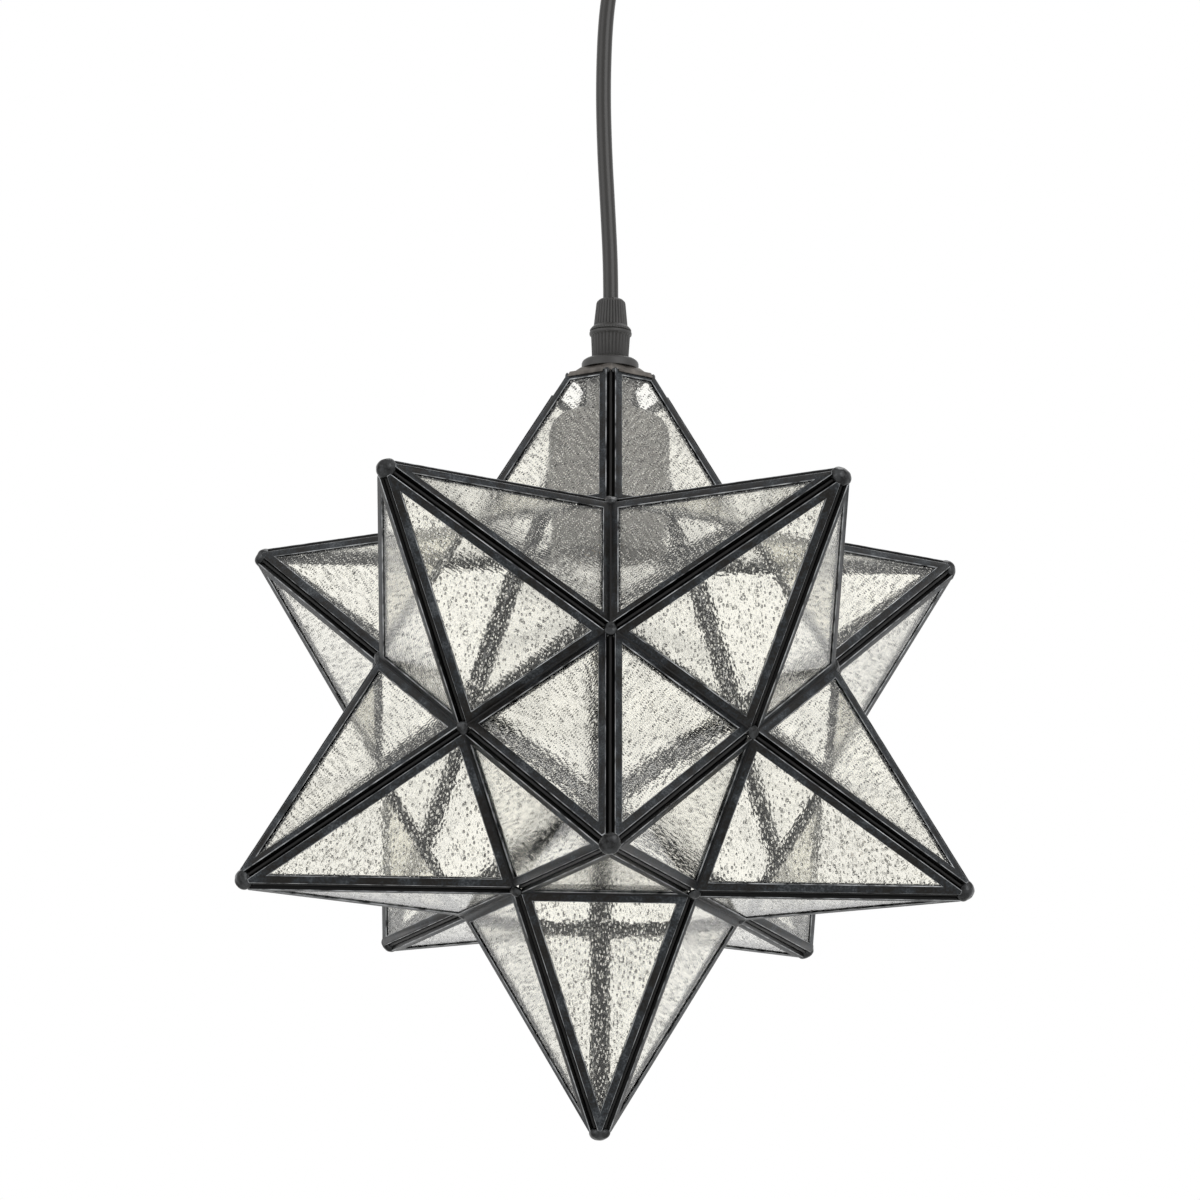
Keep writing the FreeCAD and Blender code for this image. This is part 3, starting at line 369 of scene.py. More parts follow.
# The rounded edges of the channels take this lighter metal: a painted highlight along every edge.
edge_highlight = Finish("painted_edge_highlight", Metallic=0.85, Specular_IOR_Level=0.5)
edge_highlight_cloud = edge_highlight.grain(7 * MM, 4.0)
edge_highlight.feed(Base_Color=edge_highlight.ramp(edge_highlight_cloud, (0.36, shade(56, -1)), (0.64, shade(165, -2))),
            Roughness=0.22 + edge_highlight_cloud * 0.2)


def mark_sides(mesh):
    """Mark the faces of each channel that stand square to its pane: they get the painted shade of the groove.
    """
    side = mesh.faces.layers.float.new("channel_side")
    for frame_part in islands(mesh):
        faces = {face for vertex in frame_part for face in vertex.link_faces}
        pane_way = max(faces, key=lambda face: face.calc_area()).normal
        for face in faces:
            face[side] = 1.0 if abs(face.normal.dot(pane_way)) < 0.5 else 0.0
    return mesh


def round_edges(piece, width, steps=2, limit=30, highlight_finish=None):
    """Round a piece's sharp edges, perhaps giving the rounds a lighter finish as a painted highlight, and
    shade it smoothly.
    """
    bevel = piece.modifiers.new("round_edges", "BEVEL")
    bevel.width = width
    bevel.segments = steps
    bevel.limit_method = "ANGLE"
    bevel.angle_limit = math.radians(limit)
    bevel.harden_normals = True
    if highlight_finish:
        piece.data.materials.append(highlight_finish)
        bevel.material = 1
    for face in piece.data.polygons:
        face.use_smooth = True


for point in STAR_POINTS:
    came = settle(f"channels_{point}", mark_sides(merged(f"came_{point}")), patina.material, "star",
                  "came", f"came_{point}")
    round_edges(came, CAME_EDGE, highlight_finish=edge_highlight.material)
door_channels = settle("channels_door", mark_sides(merged("door_came")), patina.material, "door",
                       "came", "door_came")
round_edges(door_channels, CAME_EDGE, highlight_finish=edge_highlight.material)

# --- solder -----------------------------------------------------------------------------------------
# Where channels meet, the maker flooded the joint with solder: a low dome closes each tip, and a
# bead fills each hollow corner. It froze lumpy and took the same black patina, glossier than came.

TIP_RADIUS = 4.3 * MM
TIP_HEIGHT = 3.4 * MM
BEAD_RADIUS = 2.9 * MM
BEAD_HEIGHT = BEAD_RADIUS * 0.5
BEAD_RISE = 0.2 * MM
SOLDER_LUMP = 0.8 * MM
SOLDER_SEED = 11

solder = Finish("patina_solder", Metallic=0.8, Specular_IOR_Level=0.6)
solder_cloud = solder.grain(3.5 * MM)
solder.feed(Base_Color=solder.ramp(solder_cloud, (0.35, shade(26, 0)), (0.64, shade(66, -1))),
            Roughness=0.16 + solder_cloud * 0.25)
solder.bump(solder.grain(1.6 * MM, 1.0), 0.2 * MM)


def feet(node, rise):
    """Where each solid of a node stands, raised by rise, and which way it points from the centre."""
    solids = merged(node)
    solids.verts.index_update()
    spots = []
    for group in islands(solids):
        way = (sum((vertex.co for vertex in group), Vector()) / len(group) - STAR_CENTRE).normalized()
        foot = min((vertex.co - STAR_CENTRE).dot(way) for vertex in group)
        spots.append((STAR_CENTRE + way * (foot + rise), way))
    solids.free()
    return spots


class Assembly:
    """A Geometry Nodes tree in the making, run once on a mesh and turned into a plain mesh."""

    def __init__(self, name, **sizes):
        self.tree = bpy.data.node_groups.new(name, "GeometryNodeTree")
        self.tree.interface.new_socket("Geometry", in_out="INPUT", socket_type="NodeSocketGeometry")
        self.tree.interface.new_socket("Geometry", in_out="OUTPUT", socket_type="NodeSocketGeometry")
        self.sizes = sizes
        self.keys = {}
        for label, value in sizes.items():
            whole = isinstance(value, int)
            made = self.tree.interface.new_socket(
                label.replace("_", " "), in_out="INPUT",
                socket_type="NodeSocketInt" if whole else "NodeSocketFloat")
            self.keys[label] = made.identifier
        self.entry = self.tree.nodes.new("NodeGroupInput")
        self.exit = self.tree.nodes.new("NodeGroupOutput")

    def given(self, label):
        """The tree's own input of that name."""
        return self.entry.outputs[label.replace("_", " ")]

    def add(self, kind, settings=None, sockets=None, output=0):
        """One node of a kind, its settings made before its sockets are filled or linked."""
        made = self.tree.nodes.new(kind)
        for setting, value in (settings or {}).items():
            setattr(made, setting, value)
        for key, value in (sockets or {}).items():
            if isinstance(value, bpy.types.NodeSocket):
                self.tree.links.new(value, made.inputs[key])
            else:
                made.inputs[key].default_value = value
        return made.outputs[output]

    def make(self, base, shape, material):
        """Run the tree, which ends in shape, on the base mesh, and return the result as a mesh."""
        whole = self.add("GeometryNodeRealizeInstances", {}, {"Geometry": shape})
        painted = self.add("GeometryNodeSetMaterial", {}, {"Geometry": whole, "Material": material})
        self.tree.links.new(painted, self.exit.inputs[0])
        stand = bpy.data.objects.new(self.tree.name, base)
        bpy.context.scene.collection.objects.link(stand)
        maker = stand.modifiers.new(self.tree.name, "NODES")
        maker.node_group = self.tree
        for label, value in self.sizes.items():
            maker[self.keys[label]] = value
        evaluated = stand.evaluated_get(bpy.context.evaluated_depsgraph_get())
        result = bpy.data.meshes.new_from_object(evaluated)
        stand.modifiers.remove(maker)
        bpy.data.objects.remove(stand)
        return result


def solder_drops(name, spots, radius, height, material):
    """A lumpy drop on every spot, flattened along the way it points."""
    base = bpy.data.meshes.new(name)
    base.from_pydata([tuple(spot) for spot, _ in spots], [], [])
    facing = base.attributes.new("facing", "FLOAT_VECTOR", "POINT")
    for item, (_, way) in zip(facing.data, spots):
        item.vector = way
    work = Assembly(name, Radius=radius, Height=height, Lump=SOLDER_LUMP, Seed=SOLDER_SEED)
    ball = work.add("GeometryNodeMeshIcoSphere", {}, {"Radius": 1.0, "Subdivisions": 4})
    way = work.add("GeometryNodeInputNamedAttribute", {"data_type": "FLOAT_VECTOR"}, {"Name": "facing"})
    turn = work.add("FunctionNodeAlignRotationToVector", {"axis": "Z"}, {"Vector": way})
    girth = work.add("ShaderNodeCombineXYZ", {}, {
        "X": work.given("Radius"), "Y": work.given("Radius"), "Z": work.given("Height")})
    drops = work.add("GeometryNodeInstanceOnPoints", {}, {
        "Points": work.entry.outputs[0], "Instance": ball, "Rotation": turn, "Scale": girth})
    whole = work.add("GeometryNodeRealizeInstances", {}, {"Geometry": drops})
    seat = work.add("GeometryNodeInputPosition")
    drift = work.add("ShaderNodeMath", {"operation": "MULTIPLY"}, {0: work.given("Seed"), 1: 0.37})
    moved = work.add("ShaderNodeVectorMath", {"operation": "ADD"}, {0: seat, 1: drift})
    swelling = work.add("ShaderNodeTexNoise", {}, {"Vector": moved, "Scale": 1 / (4.5 * MM), "Detail": 1.0})
    centred = work.add("ShaderNodeMath", {"operation": "SUBTRACT"}, {0: swelling, 1: 0.5})
    reach = work.add("ShaderNodeMath", {"operation": "MULTIPLY"}, {0: centred, 1: work.given("Lump")})
    doubled = work.add("ShaderNodeMath", {"operation": "MULTIPLY"}, {0: reach, 1: 2.0})
    outward = work.add("GeometryNodeInputNormal")
    shift = work.add("ShaderNodeVectorMath", {"operation": "SCALE"}, {0: outward, "Scale": doubled})
    lumpy = work.add("GeometryNodeSetPosition", {}, {"Geometry": whole, "Offset": shift})
    smooth = work.add("GeometryNodeSetShadeSmooth", {}, {"Geometry": lumpy})
    return work.make(base, smooth, material)


# Only six channels reach the cap: the others of the top point end lower, under the two vents.
CAME_TOP_RADIUS, CAME_TOP = 19.8 * MM, 146.4 * MM
RIDGE_END_TURNS = (-94.6, -85.4, -22.6, -157.4, 58.6, 121.4)
RIDGE_END_RADIUS, RIDGE_END_HEIGHT = 1.3 * MM, 0.55 * MM
ridge_ends = []
for turn in RIDGE_END_TURNS:
    way = Vector((math.cos(math.radians(turn)), math.sin(math.radians(turn)), 0))
    ridge_ends.append((STAR_CENTRE + way * CAME_TOP_RADIUS + Vector((0, 0, CAME_TOP)), way))
settle("ridge_ends", solder_drops("ridge_ends", ridge_ends, RIDGE_END_RADIUS, RIDGE_END_HEIGHT,
                                  solder.material), solder.material, "star", "solder")
settle("solder_tips", solder_drops("solder_tips", feet("tip_domes", 0), TIP_RADIUS, TIP_HEIGHT,
                                   solder.material), solder.material, "star", "solder", "tip_domes")
settle("solder_tip_door", solder_drops("solder_tip_door", feet("door_tip_dome", 0), TIP_RADIUS, TIP_HEIGHT,
                                       solder.material), solder.material, "door", "solder", "door_tip_dome")
settle("solder_beads", solder_drops("solder_beads", feet("corner_beads", BEAD_RISE), BEAD_RADIUS,
                                    BEAD_HEIGHT, solder.material),
       solder.material, "star", "solder", "corner_beads")

# The seams: a run of solder lies in the bottom of every ridge's groove and along every valley.
PANE_BASE = 73.0 * MM
CORE_RADIUS = PANE_BASE * math.sqrt(25 + 11 * math.sqrt(5)) / math.sqrt(40)
APEX_RADIUS = CORE_RADIUS + PANE_BASE / math.tan(math.radians(36))
RING = math.degrees(math.atan(0.5))
TIP_TRIM, TOP_TRIM, VENT_TRIM = 8.9 * MM, 34.4 * MM, 43.2 * MM
SEAM_RADIUS = 0.85 * MM
SEAM_STEP = 3 * MM
SEAM_START, SEAM_STOP = 2 * MM, 0.5 * MM
RIDGE_SEAM_DEPTH = 3.0 * MM
VALLEY_SEAM_DEPTH = 0.5 * MM
DOOR_CORNER_DEPTH = 3.4 * MM


def direction(azimuth, elevation):
    """The way to look from the star's centre, in degrees from the front and above level."""
    around, up = math.radians(azimuth), math.radians(elevation)
    return Vector((math.sin(around) * math.cos(up), -math.cos(around) * math.cos(up), math.sin(up)))


TOP_WAY, DOOR_WAY = direction(0, 90), direction(180, RING)
POINT_WAYS = ([TOP_WAY, direction(0, -90)] + [direction(36 + 72 * step, RING) for step in range(5)]
              + [direction(72 * step, -RING) for step in range(5)])
# Three neighbouring points meet at each corner of the core. Neighbours lean 63.4 degrees apart, so
# their ways have a dot product of 0.447.
CORNER_WAYS = []
for first in POINT_WAYS:
    for second in POINT_WAYS:
        for third in POINT_WAYS:
            if all(0.4 < pair < 0.5 for pair in (first.dot(second), second.dot(third), third.dot(first))):
                corner = (first + second + third).normalized()
                if all((corner - other).length > 1e-5 for other in CORNER_WAYS):
                    CORNER_WAYS.append(corner)
CORNER_RADIUS = CORE_RADIUS / POINT_WAYS[0].dot(max(CORNER_WAYS, key=lambda way: way.z))


def ridge_seams(way):
    """The lines at the bottom of the five grooves of one point."""
    lines = []
    for corner in CORNER_WAYS:
        if corner.dot(way) > 0.7:
            foot, apex = corner * CORNER_RADIUS, way * APEX_RADIUS
            run = (apex - foot).normalized()
            inward = (apex - foot) - way * (apex - foot).dot(way)
            inward = (inward - run * inward.dot(run)).normalized() * RIDGE_SEAM_DEPTH
            trim = TIP_TRIM
            if way is TOP_WAY:
                trim = TOP_TRIM if corner.y < -0.4 and abs(corner.x) < 0.1 else VENT_TRIM
            lines.append((STAR_CENTRE + foot + inward + run * SEAM_START,
                          STAR_CENTRE + apex + inward - run * (trim / run.dot(way) + SEAM_STOP)))
    return lines


def valley_seams():
    """The lines along the core's edges, where the panes of two points meet."""
    lines = []
    for place, first in enumerate(CORNER_WAYS):
        for second in CORNER_WAYS[place + 1:]:
            beside_door = first.dot(DOOR_WAY) > 0.7 and second.dot(DOOR_WAY) > 0.7
            if first.dot(second) > 0.7 and not beside_door:
                inward = (first + second).normalized() * VALLEY_SEAM_DEPTH
                lines.append((STAR_CENTRE + first * CORNER_RADIUS - inward,
                              STAR_CENTRE + second * CORNER_RADIUS - inward))
    return lines


def seam_runs(name, lines, material):
    """Round runs of solder along straight lines, a little uneven."""
    base = bpy.data.meshes.new(name)
    spots, edges = [], []
    for start, end in lines:
        steps = max(2, int((end - start).length / SEAM_STEP))
        edges += [(len(spots) + step, len(spots) + step + 1) for step in range(steps)]
        spots += [tuple(start.lerp(end, step / steps)) for step in range(steps + 1)]
    base.from_pydata(spots, edges, [])
    work = Assembly(name, Radius=SEAM_RADIUS, Sides=8, Uneven=0.25 * MM)
    path = work.add("GeometryNodeMeshToCurve", {}, {"Mesh": work.entry.outputs[0]})
    uneven = work.add("ShaderNodeTexNoise", {}, {"Scale": 1 / (6 * MM), "Detail": 1.0}, output=1)
    centred = work.add("ShaderNodeVectorMath", {"operation": "SUBTRACT"},
                       {0: uneven, 1: (0.5, 0.5, 0.5)})
    drift = work.add("ShaderNodeVectorMath", {"operation": "SCALE"},
                     {0: centred, "Scale": work.given("Uneven")})
    wavy = work.add("GeometryNodeSetPosition", {}, {"Geometry": path, "Offset": drift})
    ring = work.add("GeometryNodeCurvePrimitiveCircle", {}, {
        "Resolution": work.given("Sides"), "Radius": work.given("Radius")})
    run = work.add("GeometryNodeCurveToMesh", {}, {"Curve": wavy, "Profile Curve": ring, "Fill Caps": True})
    smooth = work.add("GeometryNodeSetShadeSmooth", {}, {"Geometry": run})
    return work.make(base, smooth, material)


# The seam solder is coloured darker than the solder of tips and beads: painted shade of the grooves and
# valleys.
groove = Finish("shaded_groove_solder", Metallic=0.5, Specular_IOR_Level=0.5)
groove_cloud = groove.grain(5 * MM)
groove.feed(Base_Color=groove.mix(groove_cloud, shade(10), shade(24, 1)), Roughness=0.35 + groove_cloud * 0.3)
fixed_ridges = [line for way in POINT_WAYS if (way - DOOR_WAY).length > 0.01 for line in ridge_seams(way)]
settle("seams", seam_runs("seams", fixed_ridges + valley_seams(), groove.material), groove.material,
       "star", "solder")
# The corners around the door have a drop too, on the star's side and sunk deeper. They still run
# about half a millimetre into the door's channels while it is shut or only just open.
door_corners = [(STAR_CENTRE + way * (CORNER_RADIUS - DOOR_CORNER_DEPTH), way) for way in CORNER_WAYS
                if way.dot(DOOR_WAY) > 0.7]
settle("solder_door_corners", solder_drops("solder_door_corners", door_corners, BEAD_RADIUS,
                                           BEAD_HEIGHT, solder.material),
       solder.material, "star", "solder")
settle("seams_door", seam_runs("seams_door", ridge_seams(DOOR_WAY), groove.material), groove.material,
       "door", "solder")

# --- cap --------------------------------------------------------------------------------------------
# A shallow five-sided cap folded from thin sheet closes the open top of the star. It is dulled to a
# grey brown, with darker patches and a rounded rim, and is clamped between flange and lock nut.

cap_sheet = Finish("dulled_sheet", Metallic=0.45, Specular_IOR_Level=0.4)
cap_cloud = cap_sheet.grain(6 * MM, 5.0)
cap_sheet.feed(Base_Color=cap_sheet.ramp(cap_cloud, (0.34, shade(58, 3)), (0.5, shade(86, 4)),
                                         (0.68, shade(108, 5))),
               Roughness=0.42 + cap_cloud * 0.3)
cap_sheet.bump(cap_sheet.grain(1.3 * MM, 3.0), 0.08 * MM)
STAR_HEIGHT = STAR_CENTRE.z
FRAME_CORNER = 19.95 * MM
FRAME_CORNER_TURN = math.radians(30)
CAP_SIDE = FRAME_CORNER * math.cos(FRAME_CORNER_TURN)
CAP_EDGE_HEIGHT = STAR_HEIGHT + 147.36 * MM
SKIRT_DEPTH, SKIRT_THICKNESS, SKIRT_END = 2.0 * MM, 0.55 * MM, 1.4 * MM
SKIRT_LIFT, SKIRT_LAP = 0.05 * MM, 0.5 * MM
SKIRT_TURNS = (-54, 90, 234)


def with_skirt(sheet):
    """Add the folded edges of the cap, which lie over the three top strips that reach it."""
    for side_turn in SKIRT_TURNS:
        turn = math.radians(side_turn)
        outward = Vector((math.cos(turn), math.sin(turn), 0))
        across = Vector((-math.sin(turn), math.cos(turn), 0))
        down = (outward - Vector((0, 0, 2))).normalized()
        face_way = across.cross(down).normalized()
        face_way = face_way if face_way.dot(outward) > 0 else -face_way
        edge = outward * CAP_SIDE + Vector((0, 0, CAP_EDGE_HEIGHT)) + face_way * SKIRT_LIFT
        half = FRAME_CORNER * math.sin(FRAME_CORNER_TURN) - SKIRT_END
        plate = bmesh.ops.create_cube(sheet, size=1)["verts"]
        for vertex in plate:
            along, drop, out = vertex.co.x * 2, vertex.co.y + 0.5, vertex.co.z + 0.5
            vertex.co = (edge + across * along * (half + drop * SKIRT_LAP)
                         + down * (drop * (SKIRT_DEPTH + SKIRT_LAP) - SKIRT_LAP)
                         + face_way * out * SKIRT_THICKNESS)
    bmesh.ops.recalc_face_normals(sheet, faces=sheet.faces)
    return sheet


cap = settle("cap", with_skirt(merged("star_cap")), cap_sheet.material, "star", "cap_sheet", "star_cap")
round_edges(cap, 0.5 * MM, 3)

# --- cord grip --------------------------------------------------------------------------------------
# Two moulded black plastic pieces squeeze the cord: a body with fine upright ribs and a collar, and
# a tapering ribbed nut with a toothed flange. A flat flange washer spreads the load on the cap.

FLANGE_FOOT = 151.25 * MM
GRIP_FOOT = 155.75 * MM
NUT_FOOT = 169.35 * MM
GRIP_RIBS = 32
FLANGE_TEETH = 44

moulded = Finish("moulded_black", Specular_IOR_Level=0.5)
moulded_cloud = moulded.grain(4 * MM)
moulded.feed(Base_Color=moulded.mix(moulded_cloud, shade(42, 1), shade(56, 1)),
             Roughness=0.36 + moulded_cloud * 0.15)
moulded.bump(moulded.grain(0.5 * MM, 1.0), 0.02 * MM)


def spun(outline, base=0.0, steps=96, ribs=0):
    """A turned mesh from an outline of (radius, height) or (radius, height, groove depth) in mm."""
    mesh = bmesh.new()
    rows = []
    for radius, height, *groove in outline:
        depth = groove[0] if groove else 0.0
        row = []
        for step in range(steps):
            angle = 2 * math.pi * step / steps
            cut = depth * (0.5 - 0.5 * math.cos(ribs * angle)) ** 2 if ribs else 0.0
            reach = max(radius - cut, 0.0) * MM
            row.append(mesh.verts.new((reach * math.sin(angle), -reach * math.cos(angle),
                                       base + height * MM)))
        rows.append(row)
    for low, high in zip(rows, rows[1:] + rows[:1]):
        for step in range(steps):
            after = (step + 1) % steps
            mesh.faces.new((low[step], low[after], high[after], high[step]))
    bmesh.ops.remove_doubles(mesh, verts=mesh.verts, dist=0.001 * MM)
    bmesh.ops.recalc_face_normals(mesh, faces=mesh.faces)
    return mesh


flange = settle("flange", spun([(5.1, 0), (12.1, 0), (12.1, 2.6), (11.7, 3.5), (10.7, 4.2), (9.6, 4.5),
                                (5.1, 4.5)], STAR_HEIGHT + FLANGE_FOOT),
                moulded.material, "star", "black_plastic", "flange_washer")
round_edges(flange, 0.3 * MM)
grip = settle("grip", spun([(5.1, 0), (7.3, 0), (7.75, 0.5, 0.6), (8.25, 9.6, 0.6), (8.3, 10.2), (8.9, 10.7),
                            (9.0, 11.1), (9.0, 11.8), (8.6, 12.1), (3.7, 12.1), (3.7, 7), (5.1, 7)],
                           STAR_HEIGHT + GRIP_FOOT, steps=GRIP_RIBS * 6, ribs=GRIP_RIBS),
              moulded.material, "star", "black_plastic", "grip_body")
round_edges(grip, 0.12 * MM, limit=45)
toothed = settle("grip_flange", spun([(3.7, 12.2), (8.4, 12.2, 0.3), (8.8, 12.4, 0.45), (8.8, 12.9, 0.45),
                                      (8.5, 13.4), (7.4, 14.6), (3.7, 14.6)],
                                     STAR_HEIGHT + GRIP_FOOT, steps=FLANGE_TEETH * 6, ribs=FLANGE_TEETH),
                 moulded.material, "star", "black_plastic", "grip_body")
nut = settle("grip_cone", spun([(3.5, 1.0), (7.2, 1.0), (7.2, 1.2, 0.55), (6.2, 11.0, 0.55), (6.0, 11.6, 0.2),
                                (5.0, 12.6), (3.5, 12.6)],
                               STAR_HEIGHT + NUT_FOOT, steps=GRIP_RIBS * 6, ribs=GRIP_RIBS),
               moulded.material, "star", "black_plastic", "grip_nut")
for part in (toothed, nut):
    round_edges(part, 0.1 * MM, limit=45)

# --- lampholder -------------------------------------------------------------------------------------
# A moulded satin shell hangs from the threaded nipple: a neck, a round shoulder and a wide skirt.
# Inside it a glazed insert carries the brass screw shell, the centre contact and two terminals.

HOLDER_FOOT = 112.07 * MM
NECK_END = 32.98

satin = Finish("satin_moulding", Specular_IOR_Level=0.4)
satin_cloud = satin.grain(12 * MM)
satin.feed(Base_Color=satin.mix(satin_cloud, shade(140, 2), shade(156, 2)),
           Roughness=0.4 + satin_cloud * 0.2)
satin.bump(satin.grain(0.6 * MM, 1.0), 0.02 * MM)


def rounded(centre_r, centre_z, radius, first, last, count):
    """Points of a round edge in an outline, in degrees above level."""
    turns = [math.radians(first + (last - first) * step / count) for step in range(count + 1)]
    return [(centre_r + radius * math.cos(turn), centre_z + radius * math.sin(turn)) for turn in turns]


holder_shell = settle("holder_shell", spun(
    [(5.1, NECK_END), (9.0, NECK_END), (9.0, 20.6)] + rounded(10.0, 20.6, 1.0, 180, 270, 3)
    + rounded(14.0, 8.6, 11.0, 90, 0, 9) + [(25.0, 0), (23.1, 0)] + rounded(14.0, 8.6, 9.1, 0, 90, 5)
    + [(5.1, 17.7)], STAR_HEIGHT + HOLDER_FOOT),
    satin.material, "star", "holder", "holder_cap")
skirt_steps = [(25.0, -6.0), (24.5, -6.4), (24.5, -7.2), (25.0, -7.6)]
holder_skirt = settle("holder_sleeve", spun(
    [(23.1, 0), (25.0, 0)] + skirt_steps + [(25.0, -41.2), (24.2, -42.0), (22.4, -42.0), (22.4, -40.8),
                                            (23.1, -40.0)], STAR_HEIGHT + HOLDER_FOOT),
    satin.material, "star", "holder", "holder_skirt")
for part in (holder_shell, holder_skirt):
    round_edges(part, 0.3 * MM)

# Inside the sleeve: a glazed ceramic insert, brass screw shell and contact, terminals and cores.
ceramic = Finish("glazed_ceramic", Coat_Weight=0.4, Coat_Roughness=0.08)
ceramic_cloud = ceramic.grain(8 * MM)
ceramic.feed(Base_Color=ceramic.mix(ceramic_cloud, shade(226, 3), shade(238, 3)),
             Roughness=0.22 + ceramic_cloud * 0.1)
dress(ceramic.material, "holder_insert")

brass = Finish("plain_brass", Metallic=1.0)
brass_cloud = brass.grain(5 * MM, 4.0)
brass.feed(Base_Color=brass.ramp(brass_cloud, (0.35, (0.5, 0.33, 0.12)), (0.65, (0.72, 0.52, 0.22))),
           Roughness=0.22 + brass_cloud * 0.25)
dress(brass.material, "centre_contact", "terminals", "terminal_screws")

THREAD_TURNS, THREAD_DEPTH, ROWS_PER_TURN = 6, 0.55, 8
SHELL_RADIUS, SHELL_LENGTH, SHELL_WALL = 13.45, 24.6, 0.3
THREAD_START = -0.6
INSERT_FOOT = HOLDER_FOOT - 8.0 * MM
shell_rows = []
for step in range(THREAD_TURNS * ROWS_PER_TURN + 1):
    wave = math.cos(2 * math.pi * step / ROWS_PER_TURN) * THREAD_DEPTH / 2
    shell_rows.append((SHELL_RADIUS - THREAD_DEPTH / 2 + wave,
                       THREAD_START - step * SHELL_LENGTH / (THREAD_TURNS * ROWS_PER_TURN)))
shell_outside = [(radius + SHELL_WALL, height) for radius, height in reversed(shell_rows)]
screw_shell = settle("screw_shell_threaded", spun(
    [(13.3, 0)] + shell_rows + [(13.8, -26.0)] + shell_outside + [(13.7, 0)], STAR_HEIGHT + INSERT_FOOT),
    brass.material, "star", "brass", "screw_shell")
round_edges(screw_shell, 0.05 * MM, 1, 60)

core_skin = Finish("core_sheath")
core_cloud = core_skin.grain(4 * MM)
core_skin.feed(Base_Color=core_skin.mix(core_cloud, shade(112, 14), shade(126, 14)),
               Roughness=0.38 + core_cloud * 0.1)
dress(core_skin.material, "lamp_cores", "mains_cores")

# --- nipple and nuts --------------------------------------------------------------------------------
# Zinc-plated steel: a threaded hollow nipple joins grip, cap and lampholder, and hexagon nuts lock
# it under the cap and inside the canopy.

zinc = Finish("zinc_plate", Metallic=1.0)
zinc_cloud = zinc.grain(3 * MM, 5.0)
zinc.feed(Base_Color=zinc.ramp(zinc_cloud, (0.35, shade(150, 1)), (0.65, shade(188, 0))),
          Roughness=0.28 + zinc_cloud * 0.25)
zinc.bump(zinc.grain(0.8 * MM), 0.02 * MM)

THREAD_PITCH = 1.0
NIPPLE_LENGTH, NIPPLE_BORE, THREAD_ROOT, THREAD_CREST = 24.0, 3.6, 4.6, 5.0
NIPPLE_FOOT = GRIP_FOOT - 17.0 * MM
nipple_rows = [(THREAD_CREST if step % 2 else THREAD_ROOT, (step + 1) * THREAD_PITCH / 2)
               for step in range(int(2 * NIPPLE_LENGTH / THREAD_PITCH) - 1)]
nipple = settle("threaded_nipple", spun(
    [(NIPPLE_BORE, 0), (THREAD_ROOT, 0)] + nipple_rows
    + [(THREAD_ROOT, NIPPLE_LENGTH), (NIPPLE_BORE, NIPPLE_LENGTH)], STAR_HEIGHT + NIPPLE_FOOT, steps=48),
    zinc.material, "star", "steel", "nipple")
for face in nipple.data.polygons:
    face.use_smooth = False
for name, body in (("lock_nut", "star"), ("canopy_grip_nut", "ceiling_fitting")):
    hexagon = settle(f"{name}_hexagon", merged(name), zinc.material, body, "steel", name)
    round_edges(hexagon, 0.4 * MM, 2, 50)

# --- door hinge and latch ---------------------------------------------------------------------------
# The upper rear point is a door for changing the lamp. Three blackened knuckles on a pin carry it
# under the top point, and a small sheet button turns on a post to hold its ear.

blackened = Finish("blackened_metal", Metallic=0.8)
blackened_cloud = blackened.grain(3 * MM, 4.0)
blackened.feed(Base_Color=blackened.ramp(blackened_cloud, (0.35, shade(44, 0)), (0.66, shade(86, -1))),
               Roughness=0.28 + blackened_cloud * 0.3)
blackened.bump(blackened.grain(0.7 * MM), 0.03 * MM)
for name, body in (("hinge_knuckle_fixed", "star"), ("hinge_pin", "star"), ("latch_post", "star"),
                   ("hinge_knuckles_door", "door"), ("latch_ear", "door"), ("latch_button", "latch")):
    part = settle(f"{name}_finished", merged(name), blackened.material, body, "hinge", name)
    round_edges(part, 0.12 * MM, 2, 40)

# --- ceiling fitting --------------------------------------------------------------------------------
# A spun steel canopy in black powder coat covers the outlet. It is held by two side screws in the
# ears of a plated crossbar, and a tapering black grip with a bell mouth lets the cord out below.

powder = Finish("powder_coat", Specular_IOR_Level=0.45)
powder_cloud = powder.grain(2.0 * MM, 2.0)
powder.feed(Base_Color=powder.mix(powder.grain(30 * MM), shade(44, 0), shade(54, 1)),
            Roughness=0.4 + powder_cloud * 0.14)
powder.bump(powder_cloud, 0.05 * MM)
SPUN_STEPS = 144
canopy = settle("canopy_spun", spun(
    [(48.8, 0)] + rounded(40.0, -14.0, 8.8, 0, -90, 8) + [(5.05, -22.8), (5.05, -24.0)]
    + rounded(40.0, -14.0, 10.0, -90, 0, 10) + [(50.0, -1.2), (50.0, 0)], steps=SPUN_STEPS),
    powder.material, "ceiling_fitting", "canopy_paint", "canopy")
round_edges(canopy, 0.3 * MM)
canopy_grip = settle("bell_grip", spun(
    [(3.6, 6.2), (5.0, 6.2), (5.0, 0), (7.6, 0), (8.0, -0.5), (8.0, -6.8, 0.0), (7.95, -7.4, 0.4),
     (6.5, -20.8, 0.4), (6.4, -21.4), (6.0, -22.0), (5.6, -22.0), (4.6, -20.6), (3.6, -19.0)],
    -24.0 * MM, steps=GRIP_RIBS * 6, ribs=GRIP_RIBS), moulded.material, "ceiling_fitting",
    "black_plastic", "canopy_grip")
round_edges(canopy_grip, 0.1 * MM, limit=45)

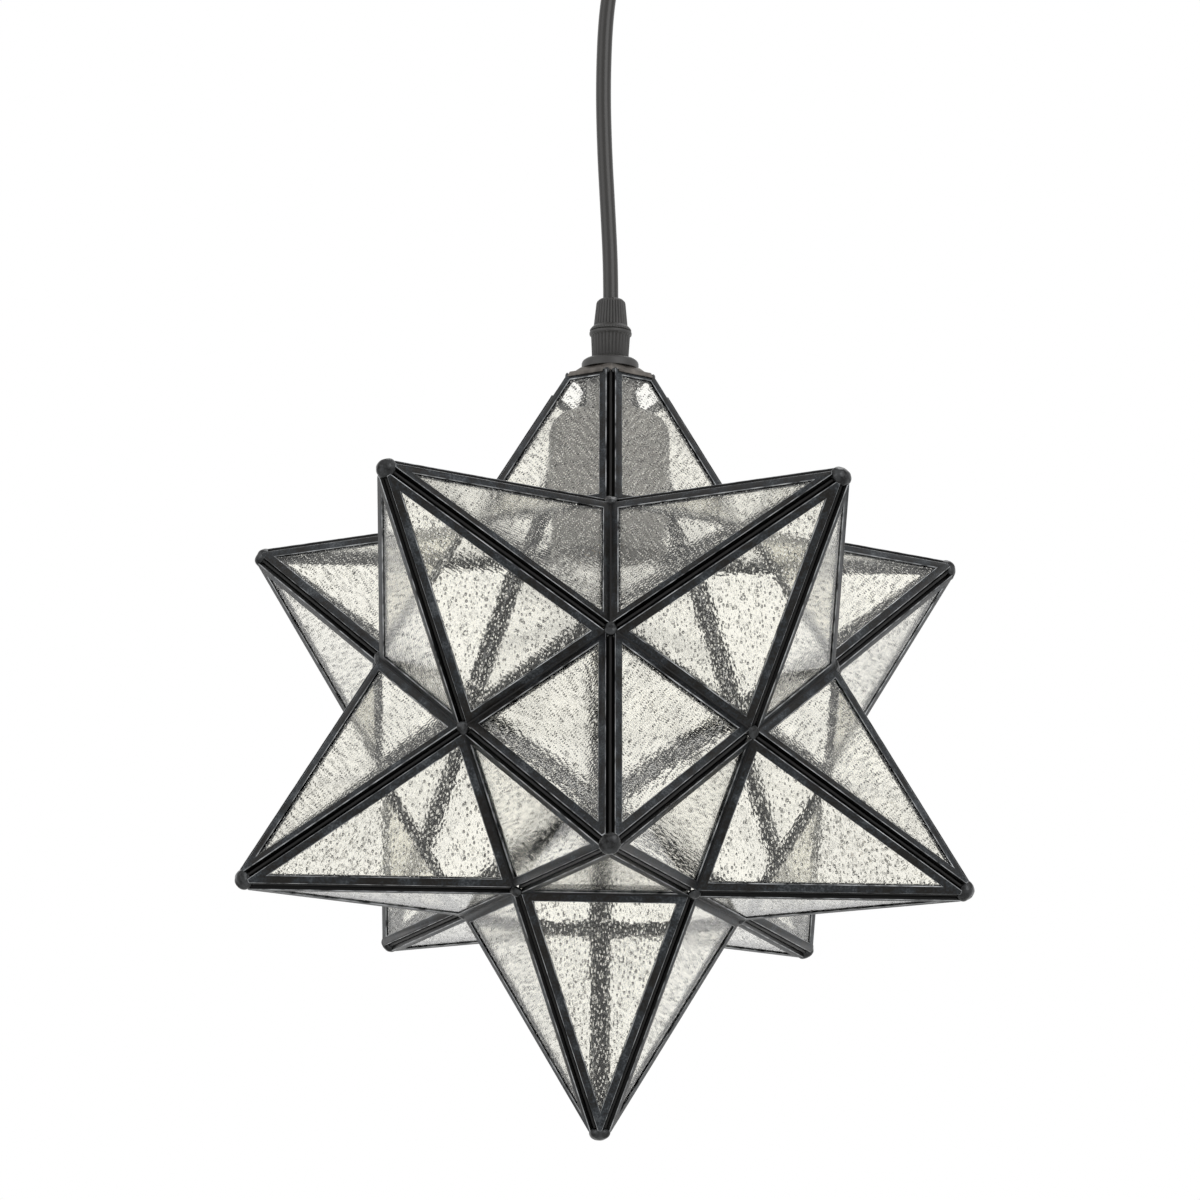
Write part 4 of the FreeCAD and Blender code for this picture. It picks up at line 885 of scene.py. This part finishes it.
bar = settle("crossbar_pressed", merged("crossbar"), zinc.material, "ceiling_fitting", "steel", "crossbar")
round_edges(bar, 0.35 * MM, 2, 50)
block = settle("terminal_strip", merged("terminal_block"), ceramic.material, "ceiling_fitting",
               "block_plastic", "terminal_block")
round_edges(block, 0.5 * MM, 2, 50)


def finish_screw(name, node, material, slot):
    """A screw of the ceiling fitting, its edges rounded."""
    screw = settle(name, merged(node), material, "ceiling_fitting", slot, node)
    round_edges(screw, 0.15 * MM, 2, 40)


finish_screw("canopy_side_screws", "canopy_screws", blackened.material, "black_screw")
finish_screw("grip_grub_screw", "grip_set_screw", blackened.material, "black_screw")
green = Finish("green_dyed", Metallic=0.9, Roughness=0.35)
green_cloud = green.grain(2 * MM)
green.feed(Base_Color=green.mix(green_cloud, (0.04, 0.2, 0.07), (0.09, 0.33, 0.14)))
finish_screw("ground_screw_dyed", "ground_screw", green.material, "green_screw")

# --- floor and light --------------------------------------------------------------------------------
# The pendant hangs over a plain pale floor in a white room. Two large soft lamps light it from the
# front, one on each side, and one from above and behind. The room is a little brighter to the eye,
# and through glass, than it is to what reflects it.

FLOOR_DROP = 1.3
FLOOR_REACH = 4.0
ROOM_SEEN, ROOM_REFLECTED = 1.0, 0.95
LAMPS = (("key", (1.6, -2.2, 0.9), 2.4, 26.0), ("fill", (-2.2, -1.4, 0.2), 2.4, 12.0),
         ("back", (0.4, 1.3, 2.4), 1.6, 14.0))
floor_paint = Finish("pale_floor", Roughness=0.9)
floor_paint.shader.inputs["Base Color"].default_value = (0.8, 0.8, 0.79, 1)
floor_mesh = bpy.data.meshes.new("floor")
floor_mesh.from_pydata([(x * FLOOR_REACH, y * FLOOR_REACH, -FLOOR_DROP)
                        for x, y in ((-1, -1), (1, -1), (1, 1), (-1, 1))], [], [(0, 1, 2, 3)])
floor_mesh.materials.append(floor_paint.material)
floor = bpy.data.objects.new("floor", floor_mesh)
bpy.context.scene.collection.objects.link(floor)

for name, spot, width, power in LAMPS:
    lamp = bpy.data.lights.new(name, "AREA")
    lamp.shape = "DISK"
    lamp.size = width
    lamp.energy = power
    stand = bpy.data.objects.new(name, lamp)
    stand.location = spot
    stand.rotation_euler = (STAR_CENTRE - Vector(spot)).to_track_quat("-Z", "Y").to_euler()
    bpy.context.scene.collection.objects.link(stand)

room = bpy.data.worlds.new("room")
room.use_nodes = True
bpy.context.scene.world = room
air = room.node_tree
backdrop = air.nodes["Background"]
backdrop.inputs["Color"].default_value = (1, 1, 1, 1)
light_path = air.nodes.new("ShaderNodeLightPath")
seen = air.nodes.new("ShaderNodeMath")
seen.operation = "MAXIMUM"
air.links.new(light_path.outputs["Is Camera Ray"], seen.inputs[0])
air.links.new(light_path.outputs["Is Transmission Ray"], seen.inputs[1])
strength = air.nodes.new("ShaderNodeMapRange")
strength.inputs["To Min"].default_value = ROOM_REFLECTED
strength.inputs["To Max"].default_value = ROOM_SEEN
air.links.new(seen.outputs[0], strength.inputs["Value"])
air.links.new(strength.outputs["Result"], backdrop.inputs["Strength"])

bpy.context.scene.view_settings.view_transform = "Standard"
